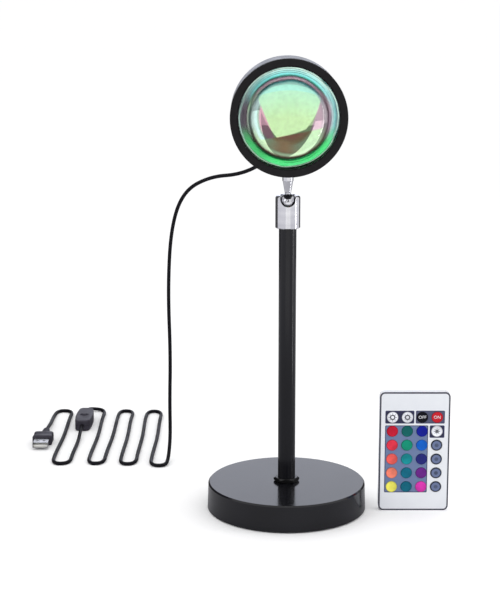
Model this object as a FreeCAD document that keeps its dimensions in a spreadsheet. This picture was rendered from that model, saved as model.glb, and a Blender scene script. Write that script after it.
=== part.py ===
import FreeCAD, Part
import math
import os
import re
import Sketcher

# Sunset projection lamp: a round weighted base, a black pole, a chrome ball
# swivel and a drum head with a domed lens, with its cord, inline switch and
# plug, and its 24-key handset. Millimetres. The origin is the middle of the
# base's underside, +Z is up and the lens looks along -Y.

os.makedirs("parts", exist_ok=True)
Vector = FreeCAD.Vector
doc = FreeCAD.newDocument("SunsetLamp")

sizes = {
    # round base, its weight and the pad under it
    "base_dia": 110.5, "base_taper": 0.6, "base_height": 18.2, "base_wall": 1.2,
    "base_bevel": 1.0, "pad_proud": 0.8, "pad_thick": 2.0, "pad_inset": 2.6,
    "weight_thick": 6.0, "hub_dia": 36.0, "hub_bevel": 1.0, "nut_recess_dia": 28.0,
    "nut_recess_depth": 7.5, "slide_gap": 0.2, "thread_gap": 0.05,
    # nuts and washer
    "clamp_across": 15.0, "clamp_thick": 5.0, "washer_dia": 22.0, "washer_thick": 1.2,
    "foot_nut_across": 15.6, "foot_nut_thick": 3.0,
    # pole
    "pole_dia": 12.0, "pole_wall": 1.0, "pole_length": 178.7, "spigot_dia": 9.8,
    "spigot_bore": 6.0, "spigot_length": 16.0, "pole_floor": 4.0,
    # swivel: plug in the pole, turning sleeve, spring washer, seat and ball
    "sleeve_dia": 17.0, "sleeve_height": 22.3, "sleeve_floor": 2.0, "sleeve_bore": 13.8,
    "sleeve_shoulder": 2.1, "sleeve_edge": 0.4, "mouth_dia": 10.6,
    "lip_dia": 9.0, "turn_gap": 0.3, "ball_dia": 12.0, "ball_rise": 17.8, "ball_gap": 0.15,
    "bore_step": 1.4, "notch_width": 10.4, "notch_drop": 2.5,
    "plug_depth": 12.0, "plug_neck_dia": 8.8, "plug_head_dia": 12.6, "plug_head_top": 7.3,
    "spring_thick": 0.8, "spring_rise": 1.4, "spring_bore": 5.2, "seat_low": 8.2,
    "seat_high": 3.6, "seat_bore": 4.0,
    # stem of the ball
    "neck_dia": 4.2, "neck_end": 6.1, "flare_end": 14.0, "flare_dia": 7.0,
    "collar_dia": 7.6, "collar_bevel": 0.5, "stem_length": 19.25, "stud_dia": 6.0, "stud_length": 6.2,
    # drum head
    "head_dia": 77.5, "head_wall": 2.0, "shell_rear": 21.0, "shell_front": 17.0,
    "boss_dia": 12.0, "boss_depth": 7.0, "screw_boss_dia": 6.4, "screw_boss_length": 10.0,
    "screw_boss_sunk": 0.2,
    "bezel_front": 23.0, "bezel_round": 0.7, "bezel_width": 4.6, "bezel_bevel": 0.8,
    "skirt_length": 6.1, "skirt_wall": 1.4, "lens_seat": 16.5, "lens_flange": 2.0,
    "dome_dia": 56.0, "dome_rise": 13.0, "filter_thick": 1.1, "baffle_wall": 1.2,
    "baffle_rim": 1.2, "baffle_throat": 16.0, "led_board_front": 3.4, "led_board_thick": 1.6,
    "led_board_dia": 40.0, "emitter_base": 8.0, "emitter_lift": 0.8, "emitter_dia": 5.0,
    "post_circle": 30.0, "post_dia": 6.0, "pin_dia": 4.0, "control_rear": 16.0,
    "control_thick": 1.6, "control_dia": 48.0, "receiver_width": 7.0,
    "receiver_low": 12.0, "receiver_high": 18.0, "receiver_thick": 4.5, "coil_x": 4.0,
    "coil_y": -2.0, "coil_dia": 8.0, "coil_thick": 4.0, "cover_thick": 2.0,
    "cover_bevel": 0.6,
    "vent_length": 18.0, "vent_width": 2.0, "vent_pitch": 5.0, "vent_count": 5,
    "board_screw_head": 3.8, "board_screw_dia": 1.9, "board_screw_length": 6.0,
    "cover_screw_head": 5.2, "cover_screw_dia": 2.9, "cover_screw_length": 8.0,
    "screw_head_thick": 1.1,
    # grommet on the rear cover
    "gland_x": -5.0, "gland_drop": 26.0, "gland_dia": 6.4, "gland_root": 6.0,
    "gland_tip": 4.4, "gland_flange": 8.0, "gland_flange_thick": 1.5,
    "gland_length": 13.0, "gland_inside": 2.0,
    # cord, inline switch and plug
    "cord_dia": 2.8, "cord_sides": 6, "bend_share": 0.45, "switch_x": -163.0,
    "switch_y": 203.0, "switch_length": 40.0,
    "switch_width": 14.0, "switch_end": 11.0, "switch_thick": 9.0, "switch_wall": 1.3,
    "switch_grip": 5.0, "switch_corner": 4.2, "switch_round": 1.2,
    "button_dia": 5.6, "button_proud": 0.9, "button_travel": 1.2, "button_edge": 0.4,
    "button_flange": 0.6, "button_flange_thick": 1.4, "core_width": 8.4, "core_length": 18.0,
    "core_gap": 0.2,
    "ring_dia": 7.4, "ring_proud": 0.5, "plug_x": -190.5, "plug_y": 172.0,
    "grip_length": 16.5, "grip_width": 15.4, "grip_thick": 8.0, "grip_round": 1.4,
    "grip_shoulder": 3.0, "strain_length": 12.0, "strain_width": 7.0, "strain_tip": 5.0,
    "groove_first": 0.18, "groove_step": 0.26, "groove_depth": 0.7, "groove_width": 1.0,
    "usb_width": 12.0, "usb_thick": 4.5, "usb_wall": 0.3, "usb_length": 12.0,
    "usb_hole": 2.0, "usb_hole_apart": 5.0, "usb_hole_back": 5.2,
    "tongue_width": 11.0, "tongue_thick": 1.8, "tongue_length": 10.4,
    # handset
    "handset_x": 88.1, "handset_back": -1.75, "handset_width": 48.5, "handset_height": 85.0,
    "handset_thick": 6.5, "handset_corner": 3.5, "handset_edge": 0.8, "handset_wall": 1.4,
    "back_wall": 0.8, "bay_depth": 3.1, "bay_width": 40.0, "bay_length": 58.0,
    "overlay_thick": 0.6, "board_thick": 0.8, "board_margin": 2.5,
    "part_gap": 0.1, "key_dia": 7.8, "key_proud": 0.4, "key_travel": 0.5,
    "key_pitch_x": 10.25, "key_pitch_y": 10.0, "key_first": 17.8,
    "tray_width": 22.6, "tray_length": 24.0, "tray_thick": 3.0, "tray_floor": 0.4,
    "tray_recess": 0.4, "coin_dia": 20.0, "coin_thick": 2.5, "coin_well": 20.3,
    "coin_wall": 1.2,
}

sheet = doc.addObject("Spreadsheet::Sheet", "Sizes")
for row, (alias, number) in enumerate(sizes.items(), start=1):
    sheet.set("A%d" % row, alias)
    sheet.set("B%d" % row, str(number))
    sheet.setAlias("B%d" % row, alias)
doc.recompute()


def cells(text):
    """The expression with each size's name pointed at its cell."""
    def point(match):
        return "Sizes." + match.group() if match.group() in sizes else match.group()
    return re.sub(r"[a-z][a-z0-9_]*", point, str(text))


def value(text):
    return float(sheet.evalExpression(cells(text)))


# Heights and radii that several pieces share, each worked out from the sizes.
base_top = "(pad_proud + base_height)"
base_inner = "(base_dia / 2 - base_taper - base_wall)"
spigot_hole = "(spigot_dia / 2 + thread_gap)"
pole_top = f"({base_top} + pole_length)"
sleeve_low = f"({pole_top} + turn_gap)"
ball_height = f"({pole_top} + ball_rise)"
socket_dia = "(ball_dia + 2 * ball_gap)"
head_height = f"({ball_height} + stem_length + head_dia / 2)"
head_bore = "(head_dia / 2 - head_wall)"
lens_back = "(lens_seat - lens_flange)"
filter_back = f"({lens_back} - filter_thick)"
chamber = "(head_dia / 2 - head_wall - thread_gap - skirt_wall)"
screw_circle = f"({head_bore} - screw_boss_dia / 2 + screw_boss_sunk)"
face_forward = FreeCAD.Rotation(Vector(1, 0, 0), 90)


def place(item, spot, turn=None):
    """Put an object at a spot given as three expressions."""
    if turn:
        item.Placement = FreeCAD.Placement(Vector(), turn)
    for axis, text in zip("xyz", spot):
        item.setExpression("Placement.Base." + axis, cells(text))


def new_body(name, spot=("0", "0", "0"), turn=None):
    body = doc.addObject("PartDesign::Body", name)
    body.Label = name
    place(body, spot, turn)
    return body


def new_sketch(body, name, plane, lift="0"):
    sketch = body.newObject("Sketcher::SketchObject", name)
    support = [item for item in body.Origin.OriginFeatures if item.Role == plane][0]
    sketch.AttachmentSupport = [(support, "")]
    sketch.MapMode = "FlatFace"
    sketch.setExpression("AttachmentOffset.Base.z", cells(lift))
    return sketch


def bind(sketch, kind, target, text):
    """Add a constraint whose value follows an expression."""
    number = sketch.addConstraint(Sketcher.Constraint(kind, *target, value(text)))
    sketch.setExpression("Constraints[%d]" % number, cells(text))


def outline(sketch, points):
    """A closed outline. A point is x, y, or x, y, radius, side where an arc
    starts there: side 1 turns left and -1 turns right. A radius of "half" is
    a half circle on a level or upright chord."""
    spots = [Vector(value(point[0]), value(point[1]), 0) for point in points]
    ends = []
    for index, point in enumerate(points):
        start = spots[index]
        finish = spots[(index + 1) % len(points)]
        if len(point) == 2:
            number = sketch.addGeometry(Part.LineSegment(start, finish))
            ends.append((number, 1, 2))
            continue
        side = point[3]
        chord = finish - start
        half_circle = point[2] == "half"
        radius = chord.Length / 2 if half_circle else value(point[2])
        left = Vector(-chord.y, chord.x, 0).normalize()
        reach = math.sqrt(max(radius ** 2 - (chord.Length / 2) ** 2, 0))
        centre = (start + finish) * 0.5 + left * (side * reach)
        first, last = (start, finish) if side > 0 else (finish, start)
        circle = Part.Circle(centre, Vector(0, 0, 1), radius)
        angles = [math.atan2(end.y - centre.y, end.x - centre.x) for end in (first, last)]
        number = sketch.addGeometry(Part.ArcOfCircle(circle, angles[0], angles[1]))
        if not half_circle:
            bind(sketch, "Radius", (number,), point[2])
        elif abs(chord.y) < abs(chord.x):
            bind(sketch, "DistanceY", (number, 3), point[1])
        else:
            bind(sketch, "DistanceX", (number, 3), point[0])
        ends.append((number, 1, 2) if side > 0 else (number, 2, 1))
    for index, (number, start_end, far_end) in enumerate(ends):
        following = ends[(index + 1) % len(ends)]
        joined = Sketcher.Constraint("Coincident", number, far_end, following[0], following[1])
        sketch.addConstraint(joined)
        bind(sketch, "DistanceX", (number, start_end), points[index][0])
        bind(sketch, "DistanceY", (number, start_end), points[index][1])


def ring(sketch, x, y, radius):
    """A circle with its middle at x, y."""
    spot = Vector(value(x), value(y), 0)
    number = sketch.addGeometry(Part.Circle(spot, Vector(0, 0, 1), value(radius)))
    bind(sketch, "Radius", (number,), radius)
    bind(sketch, "DistanceX", (number, 3), x)
    bind(sketch, "DistanceY", (number, 3), y)


def box_outline(left, low, right, high):
    return [(left, low), (right, low), (right, high), (left, high)]


def rounded_outline(half_width, low, high, corner):
    """A rectangle about x = 0 with rounded corners."""
    return [(f"-({half_width}) + ({corner})", low), (f"{half_width} - ({corner})", low, corner, 1),
            (half_width, f"{low} + ({corner})"), (half_width, f"{high} - ({corner})", corner, 1),
            (f"{half_width} - ({corner})", high), (f"-({half_width}) + ({corner})", high, corner, 1),
            (f"-({half_width})", f"{high} - ({corner})"),
            (f"-({half_width})", f"{low} + ({corner})", corner, 1)]


def turned(body, name, points):
    """A solid of revolution about the body's Z axis from radius, height points."""
    sketch = new_sketch(body, name + "_profile", "XZ_Plane")
    outline(sketch, points)
    feature = body.newObject("PartDesign::Revolution", name)
    feature.Profile = sketch
    feature.ReferenceAxis = (sketch, ["V_Axis"])
    feature.Angle = 360
    return feature


def extruded(body, name, draw, low, high, plane="XY_Plane"):
    """A pad from low to high along the plane's normal."""
    sketch = new_sketch(body, name + "_sketch", plane, low)
    draw(sketch)
    feature = body.newObject("PartDesign::Pad", name)
    feature.Profile = sketch
    feature.setExpression("Length", cells(f"({high}) - ({low})"))
    return feature


def cut(body, name, draw, low, high, plane="XY_Plane"):
    """A pocket from high down to low along the plane's normal."""
    sketch = new_sketch(body, name + "_sketch", plane, high)
    draw(sketch)
    feature = body.newObject("PartDesign::Pocket", name)
    feature.Profile = sketch
    feature.setExpression("Length", cells(f"({high}) - ({low})"))
    return feature


def three_times(body, name, features):
    """Repeat features three times around the body's Z axis."""
    pattern = body.newObject("PartDesign::PolarPattern", name)
    pattern.Originals = features
    axis = [item for item in body.Origin.OriginFeatures if item.Role == "Z_Axis"][0]
    pattern.Axis = (axis, [""])
    pattern.Angle = 360
    pattern.Occurrences = 3
    body.Tip = pattern
    return pattern


def edges_where(feature, test):
    """Names of a feature's edges whose middle point passes the test."""
    doc.recompute()
    names = []
    for number, edge in enumerate(feature.Shape.Edges, start=1):
        middle = edge.valueAt((edge.FirstParameter + edge.LastParameter) / 2)
        if test(middle, edge):
            names.append("Edge%d" % number)
    return names


def fillet(body, name, feature, radius, test):
    edges = edges_where(feature, test)
    rounded = body.newObject("PartDesign::Fillet", name)
    rounded.Base = (feature, edges)
    rounded.setExpression("Radius", cells(radius))
    return rounded


def bored(name, blank, bore, low, thick):
    """The blank with a plain bore through it, its underside at low."""
    blank.setExpression("Height", cells(thick))
    hole = doc.addObject("Part::Cylinder", name + "_bore")
    hole.setExpression("Radius", cells(bore))
    hole.setExpression("Height", cells(thick))
    drilled = doc.addObject("Part::Cut", name)
    drilled.Base = blank
    drilled.Tool = hole
    place(drilled, ("0", "0", low))
    return drilled


def hex_nut(name, across, bore, low, thick):
    blank = doc.addObject("Part::Prism", name + "_blank")
    blank.Polygon = 6
    blank.setExpression("Circumradius", cells(f"{across} / sqrt(3)"))
    return bored(name, blank, bore, low, thick)


def flat_washer(name, dia, bore, low, thick):
    blank = doc.addObject("Part::Cylinder", name + "_blank")
    blank.setExpression("Radius", cells(f"{dia} / 2"))
    return bored(name, blank, bore, low, thick)


pieces = []

# ---- Base: spun steel shell, cast weight with a hub, foam pad ----
base_shell = new_body("base_shell")
turned(base_shell, "shell_wall", [
    (base_inner, "pad_proud"), ("base_dia / 2", "pad_proud"),
    ("base_dia / 2 - base_taper", f"{base_top} - base_bevel"),
    ("base_dia / 2 - base_taper - base_bevel", base_top),
    (spigot_hole, base_top), (spigot_hole, f"{base_top} - base_wall"),
    (base_inner, f"{base_top} - base_wall")])
pieces.append(base_shell)

base_weight = new_body("base_weight")
weight_top = "(pad_thick + weight_thick)"
turned(base_weight, "weight_casting", [
    ("nut_recess_dia / 2", "pad_thick"), (f"{base_inner} - slide_gap", "pad_thick"),
    (f"{base_inner} - slide_gap", weight_top), ("hub_dia / 2 + hub_bevel", weight_top),
    ("hub_dia / 2", f"{weight_top} + hub_bevel"), ("hub_dia / 2", f"{base_top} - base_wall"),
    (spigot_hole, f"{base_top} - base_wall"), (spigot_hole, "pad_thick + nut_recess_depth"),
    ("nut_recess_dia / 2", "pad_thick + nut_recess_depth")])
pieces.append(base_weight)

foot_pad = new_body("foot_pad")
turned(foot_pad, "pad_disc", [
    ("0", "0"), ("base_dia / 2 - pad_inset", "0"), ("base_dia / 2 - pad_inset", "pad_thick"),
    ("0", "pad_thick")])
pieces.append(foot_pad)

washer_low = "(pad_thick + nut_recess_depth - washer_thick)"
washer = flat_washer("clamp_washer", "washer_dia", spigot_hole, washer_low, "washer_thick")
clamp = hex_nut("clamp_hexagon", "clamp_across", spigot_hole,
                f"{washer_low} - clamp_thick", "clamp_thick")
base_clamp_nut = doc.addObject("Part::Compound", "base_clamp_nut")
base_clamp_nut.Links = [washer, clamp]
pieces.append(base_clamp_nut)

pieces.append(hex_nut("pole_foot_nut", "foot_nut_across", "pole_dia / 2 + part_gap",
                      base_top, "foot_nut_thick"))

# ---- Pole: steel tube with a threaded spigot through the base ----
pole = new_body("pole")
pole_bore = "(pole_dia / 2 - pole_wall)"
turned(pole, "pole_tube", [
    ("spigot_bore / 2", f"{base_top} - spigot_length"),
    ("spigot_dia / 2", f"{base_top} - spigot_length"), ("spigot_dia / 2", base_top),
    ("pole_dia / 2", base_top), ("pole_dia / 2", pole_top), (pole_bore, pole_top),
    (pole_bore, f"{base_top} + pole_floor"), ("spigot_bore / 2", f"{base_top} + pole_floor")])
pieces.append(pole)

# ---- Swivel: the plug stays in the pole and the sleeve turns on it ----
swivel_plug = new_body("swivel_plug", ("0", "0", pole_top))
head_underside = "(turn_gap + sleeve_floor + part_gap)"
turned(swivel_plug, "plug_turning", [
    ("0", "-plug_depth"), (f"{pole_bore} - thread_gap", "-plug_depth"),
    (f"{pole_bore} - thread_gap", "0"), ("plug_neck_dia / 2", "0"),
    ("plug_neck_dia / 2", head_underside), ("plug_head_dia / 2", head_underside),
    ("plug_head_dia / 2", "plug_head_top"), ("0", "plug_head_top")])
pieces.append(swivel_plug)

swivel_sleeve = new_body("swivel_sleeve", ("0", "0", sleeve_low))
ball_in_sleeve = "(ball_rise - turn_gap)"
lip_rise = f"sqrt(({socket_dia} / 2) ^ 2 - (lip_dia / 2) ^ 2)"
neck_hole = "(plug_neck_dia / 2 + part_gap)"
turned(swivel_sleeve, "sleeve_turning", [
    (neck_hole, "0"), ("sleeve_dia / 2 - sleeve_edge", "0"),
    ("sleeve_dia / 2", "sleeve_edge"),
    ("sleeve_dia / 2", "sleeve_height - sleeve_shoulder", "sleeve_shoulder", 1),
    ("sleeve_dia / 2 - sleeve_shoulder", "sleeve_height"), ("mouth_dia / 2", "sleeve_height"),
    ("lip_dia / 2", f"{ball_in_sleeve} + {lip_rise}", f"{socket_dia} / 2", -1),
    (f"{socket_dia} / 2", ball_in_sleeve), (f"{socket_dia} / 2", f"{ball_in_sleeve} - bore_step"),
    ("sleeve_bore / 2", f"{ball_in_sleeve} - bore_step"), ("sleeve_bore / 2", "sleeve_floor"),
    (neck_hole, "sleeve_floor")])


def notch_shape(sketch):
    """A U open at the top, its round bottom just under the tilted stem."""
    half = "notch_width / 2"
    middle = f"{ball_in_sleeve} - notch_drop + {half}"
    outline(sketch, [
        (f"-{half}", middle, "half", 1), (half, middle), (half, "sleeve_height * 2"),
        (f"-{half}", "sleeve_height * 2")])


cut(swivel_sleeve, "notch", notch_shape, "0", "sleeve_dia", "XZ_Plane")
pieces.append(swivel_sleeve)

swivel_spring = new_body("swivel_spring", ("0", "0", pole_top))
turned(swivel_spring, "spring_cone", [
    ("plug_head_dia / 2", "plug_head_top"),
    ("plug_head_dia / 2", "plug_head_top + spring_thick"),
    ("spring_bore / 2", "plug_head_top + spring_thick + spring_rise"),
    ("spring_bore / 2", "plug_head_top + spring_rise")])
pieces.append(swivel_spring)

ball_seat = new_body("ball_seat", ("0", "0", ball_height))
turned(ball_seat, "seat_cup", [
    ("seat_bore / 2", "-seat_low"), ("sleeve_bore / 2 - part_gap", "-seat_low"),
    ("sleeve_bore / 2 - part_gap", "-seat_high"),
    (f"sqrt(({socket_dia} / 2) ^ 2 - seat_high ^ 2)", "-seat_high", f"{socket_dia} / 2", -1),
    ("seat_bore / 2", f"-sqrt(({socket_dia} / 2) ^ 2 - (seat_bore / 2) ^ 2)")])
pieces.append(ball_seat)

ball_stem = new_body("ball_stem", ("0", "0", ball_height))
turned(ball_stem, "stem_turning", [
    ("0", "-ball_dia / 2", "ball_dia / 2", 1),
    ("neck_dia / 2", "sqrt((ball_dia / 2) ^ 2 - (neck_dia / 2) ^ 2)"),
    ("neck_dia / 2", "neck_end"), ("flare_dia / 2", "flare_end"),
    ("collar_dia / 2", "flare_end + collar_bevel"), ("collar_dia / 2", "stem_length"),
    ("stud_dia / 2", "stem_length"), ("stud_dia / 2", "stem_length + stud_length"),
    ("0", "stem_length + stud_length")])
pieces.append(ball_stem)

# ---- Drum head: its own Z runs out through the lens, its Y is up ----
head_spot = ("0", "0", head_height)


def head_body(name):
    return new_body(name, head_spot, face_forward)


head_shell = head_body("head_shell")
turned(head_shell, "drum_wall", [
    (head_bore, "-shell_rear"), ("head_dia / 2", "-shell_rear"),
    ("head_dia / 2", "shell_front"), (head_bore, "shell_front")])
boss_low = f"{head_bore} - boss_depth"
extruded(head_shell, "stem_boss", lambda sketch: ring(sketch, "0", "0", "boss_dia / 2"),
         boss_low, f"{head_bore} + head_wall / 2", "XZ_Plane")
cut(head_shell, "stud_hole",
    lambda sketch: ring(sketch, "0", "0", "stud_dia / 2 + thread_gap"),
    boss_low, "head_dia / 2 + head_wall", "XZ_Plane")
screw_boss = extruded(head_shell, "screw_boss",
                      lambda sketch: ring(sketch, "0", f"-{screw_circle}", "screw_boss_dia / 2"),
                      "-shell_rear", "-shell_rear + screw_boss_length")
pilot = cut(head_shell, "screw_pilot",
            lambda sketch: ring(sketch, "0", f"-{screw_circle}", "cover_screw_dia / 2 + thread_gap"),
            "-shell_rear", "-shell_rear + screw_boss_length")
three_times(head_shell, "screw_bosses", [screw_boss, pilot])
pieces.append(head_shell)

front_bezel = head_body("front_bezel")
bezel_inner = "(head_dia / 2 - bezel_width)"
turned(front_bezel, "bezel_ring", [
    (chamber, "shell_front - skirt_length"),
    (f"{head_bore} - thread_gap", "shell_front - skirt_length"),
    (f"{head_bore} - thread_gap", "shell_front"), ("head_dia / 2", "shell_front"),
    ("head_dia / 2", "bezel_front - bezel_round", "bezel_round", 1),
    ("head_dia / 2 - bezel_round", "bezel_front"), (bezel_inner, "bezel_front"),
    (f"{bezel_inner} - bezel_bevel", "bezel_front - bezel_bevel"),
    (f"{bezel_inner} - bezel_bevel", "lens_seat"), (chamber, "lens_seat")])
pieces.append(front_bezel)

lens = head_body("lens")
turned(lens, "lens_glass", [
    ("0", lens_back), (f"{chamber} - part_gap", lens_back),
    (f"{chamber} - part_gap", "lens_seat"),
    ("dome_dia / 2", "lens_seat", "((dome_dia / 2) ^ 2 + dome_rise ^ 2) / (2 * dome_rise)", 1),
    ("0", "lens_seat + dome_rise")])
pieces.append(lens)

dichroic_filter = head_body("dichroic_filter")
turned(dichroic_filter, "filter_disc", [
    ("0", filter_back), (f"{chamber} - part_gap", filter_back),
    (f"{chamber} - part_gap", lens_back), ("0", lens_back)])
pieces.append(dichroic_filter)

light_baffle = head_body("light_baffle")
turned(light_baffle, "baffle_cone", [
    ("baffle_throat / 2", "-led_board_front"),
    ("baffle_throat / 2 + baffle_wall", "-led_board_front"),
    (f"{chamber} - part_gap", f"{filter_back} - baffle_rim"),
    (f"{chamber} - part_gap", filter_back),
    (f"{chamber} - part_gap - baffle_wall", filter_back)])
pieces.append(light_baffle)

# The rear cover's stepped posts carry the control board on their shoulders
# and the LED board on their ends.
post_y = "-post_circle / 2"
led_board_rear = "(-led_board_front - led_board_thick)"
led_board = head_body("led_board")
turned(led_board, "led_disc", [
    ("0", led_board_rear), ("led_board_dia / 2", led_board_rear),
    ("led_board_dia / 2", "-led_board_front"), ("emitter_base / 2", "-led_board_front"),
    ("emitter_base / 2", "-led_board_front + emitter_lift"),
    ("emitter_dia / 2", "-led_board_front + emitter_lift", "emitter_dia / 2", 1),
    ("0", "-led_board_front + emitter_lift + emitter_dia / 2")])
led_hole = cut(led_board, "led_screw_hole",
               lambda sketch: ring(sketch, "0", post_y, "board_screw_dia / 2 + part_gap"),
               led_board_rear, "-led_board_front")
three_times(led_board, "led_screw_holes", [led_hole])
pieces.append(led_board)

control_board = head_body("control_board")
control_front = "(-control_rear + control_thick)"
turned(control_board, "control_disc", [
    ("0", "-control_rear"), ("control_dia / 2", "-control_rear"),
    ("control_dia / 2", control_front), ("0", control_front)])
extruded(control_board, "receiver",
         lambda sketch: outline(sketch, box_outline(
             "-receiver_width / 2", "receiver_low", "receiver_width / 2", "receiver_high")),
         control_front, f"{control_front} + receiver_thick")
extruded(control_board, "coil_can",
         lambda sketch: ring(sketch, "coil_x", "coil_y", "coil_dia / 2"),
         control_front, f"{control_front} + coil_thick")
control_hole = cut(control_board, "control_post_hole",
                   lambda sketch: ring(sketch, "0", post_y, "pin_dia / 2 + part_gap"),
                   "-control_rear", control_front)
three_times(control_board, "control_post_holes", [control_hole])
pieces.append(control_board)

rear_cover = head_body("rear_cover")
cover_back = "(-shell_rear - cover_thick)"
turned(rear_cover, "cover_disc", [
    ("0", cover_back), ("head_dia / 2 - cover_bevel", cover_back),
    ("head_dia / 2", f"{cover_back} + cover_bevel"), ("head_dia / 2", "-shell_rear"),
    ("0", "-shell_rear")])
post = extruded(rear_cover, "post", lambda sketch: ring(sketch, "0", post_y, "post_dia / 2"),
                "-shell_rear", "-control_rear")
pin = extruded(rear_cover, "post_pin", lambda sketch: ring(sketch, "0", post_y, "pin_dia / 2"),
               "-control_rear", led_board_rear)
pin_pilot = cut(rear_cover, "pin_pilot",
                lambda sketch: ring(sketch, "0", post_y, "board_screw_dia / 2 + thread_gap"),
                f"{led_board_rear} - board_screw_length", led_board_rear)
screw_hole = cut(rear_cover, "cover_screw_hole",
                 lambda sketch: ring(sketch, "0", f"-{screw_circle}", "cover_screw_dia / 2 + part_gap"),
                 cover_back, "-shell_rear")
head_sink = cut(rear_cover, "cover_screw_sink",
                lambda sketch: ring(sketch, "0", f"-{screw_circle}", "cover_screw_head / 2 + part_gap"),
                cover_back, f"{cover_back} + screw_head_thick")
three_times(rear_cover, "cover_posts", [post, pin, pin_pilot, screw_hole, head_sink])
cut(rear_cover, "gland_hole",
    lambda sketch: ring(sketch, "gland_x", "-gland_drop", "gland_dia / 2"),
    cover_back, "-shell_rear")


def vent_shape(sketch):
    """A slot with round ends."""
    half = "vent_length / 2 - vent_width / 2"
    tip = "vent_width / 2"
    outline(sketch, [
        (f"-({half})", f"-{tip}"), (half, f"-{tip}", "half", 1), (half, tip),
        (f"-({half})", tip, "half", 1)])


vent = cut(rear_cover, "vent", vent_shape, cover_back, "-shell_rear")
vents = rear_cover.newObject("PartDesign::LinearPattern", "vents")
vents.Originals = [vent]
upward = [item for item in rear_cover.Origin.OriginFeatures if item.Role == "Y_Axis"][0]
vents.Direction = (upward, [""])
vents.setExpression("Length", cells("vent_pitch * (vent_count - 1)"))
vents.setExpression("Occurrences", cells("vent_count"))
rear_cover.Tip = vents
pieces.append(rear_cover)


def screw_set(name, head, shank, length, circle, seat, way):
    """Three pan-head screws on a circle; way is 1 where the heads face forward."""
    screws = []
    for turn in range(3):
        angle = math.radians(120 * turn - 90)
        spot = (f"{circle} * {math.cos(angle):.6f}", "0",
                f"{head_height} + {circle} * {math.sin(angle):.6f}")
        parts = []
        for part, dia, low, high in (
                ("head", head, "0", "screw_head_thick"), ("shank", shank, f"-{length}", "0")):
            pin_part = doc.addObject("Part::Cylinder", f"{name}_{part}_{turn}")
            pin_part.setExpression("Radius", cells(f"{dia} / 2"))
            pin_part.setExpression("Height", cells(f"({high}) - ({low})"))
            pin_part.setExpression("Placement.Base.z", cells(low))
            parts.append(pin_part)
        screw = doc.addObject("Part::Fuse", f"{name}_{turn}")
        screw.Base = parts[0]
        screw.Tool = parts[1]
        place(screw, (spot[0], f"-({seat})", spot[2]), FreeCAD.Rotation(Vector(1, 0, 0), 90 * way))
        screws.append(screw)
    group = doc.addObject("Part::Compound", name)
    group.Links = screws
    return group


pieces.append(screw_set("board_screws", "board_screw_head", "board_screw_dia",
                        "board_screw_length", "post_circle / 2", "-led_board_front", 1))
pieces.append(screw_set("rear_screws", "cover_screw_head", "cover_screw_dia",
                        "cover_screw_length", screw_circle, f"{cover_back} + screw_head_thick", -1))

cable_gland = new_body("cable_gland", ("gland_x", "0", f"{head_height} - gland_drop"),
                       face_forward)
gland_end = f"({cover_back} - gland_length)"
flange_back = f"{cover_back} - gland_flange_thick"
turned(cable_gland, "gland_taper", [
    ("0", gland_end), ("gland_tip / 2", gland_end),
    ("gland_root / 2", flange_back), ("gland_flange / 2", flange_back),
    ("gland_flange / 2", cover_back), ("gland_dia / 2 - thread_gap", cover_back),
    ("gland_dia / 2 - thread_gap", "-shell_rear + gland_inside"),
    ("0", "-shell_rear + gland_inside")])
pieces.append(cable_gland)

# ---- Cord: points of its route in millimetres, floor stretches a radius up ----
floor = value("cord_dia / 2")
gland_tip_y = -value(gland_end)
gland_z = value(f"{head_height} - gland_drop")
switch_z = value("switch_thick / 2")
plug_z = value("grip_thick / 2")
switch_half = value("switch_length / 2")

lead_route = [
    (value("gland_x"), gland_tip_y, gland_z), (-5, 56, gland_z), (-14, 75, 234), (-32, 90, 223),
    (-55, 101, 220), (-75, 110, 208), (-85, 117, 180), (-88, 119.5, 132), (-86.5, 118, 80),
    (-87.5, 118, 44), (-87, 114, 17), (-88, 102, 3), (-89.5, 88, floor), (-101, 88.5, floor),
    (-101.5, 112, floor), (-100, 160, floor), (-101, 209, floor), (-100.5, 237, floor),
    (-112.5, 239, floor), (-113.5, 214, floor), (-112, 166, floor), (-113, 118, floor),
    (-112.5, 93, floor), (-124.5, 91.5, floor), (-125, 116, floor), (-124, 164, floor),
    (-125.5, 212, floor), (-124.5, 238, floor), (-136.5, 240, floor), (-137, 215, floor),
    (-136, 167, floor), (-137.5, 119, floor), (-137, 94, floor), (-149, 93, floor),
    (-149.5, 117, floor), (-148, 165, floor), (-149.5, 214, floor), (-149, 242, floor),
    (-162, 243.5, 2.4), (-163, 232, switch_z), (value("switch_x"), 223, switch_z)]

tail_route = [
    (value("switch_x"), 183, switch_z), (-163, 172, switch_z), (-162.5, 150, floor),
    (-163.5, 117, floor), (-163, 94, floor), (-176, 92.5, floor), (-177, 117, floor),
    (-175.5, 165, floor), (-177, 213, floor), (-176.5, 239, floor), (-190, 240.5, floor),
    (-191, 217, floor), (-190.3, 195, 2.8), (-190.5, 182, plug_z),
    (value("plug_x"), value("plug_y"), plug_z)]


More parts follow.
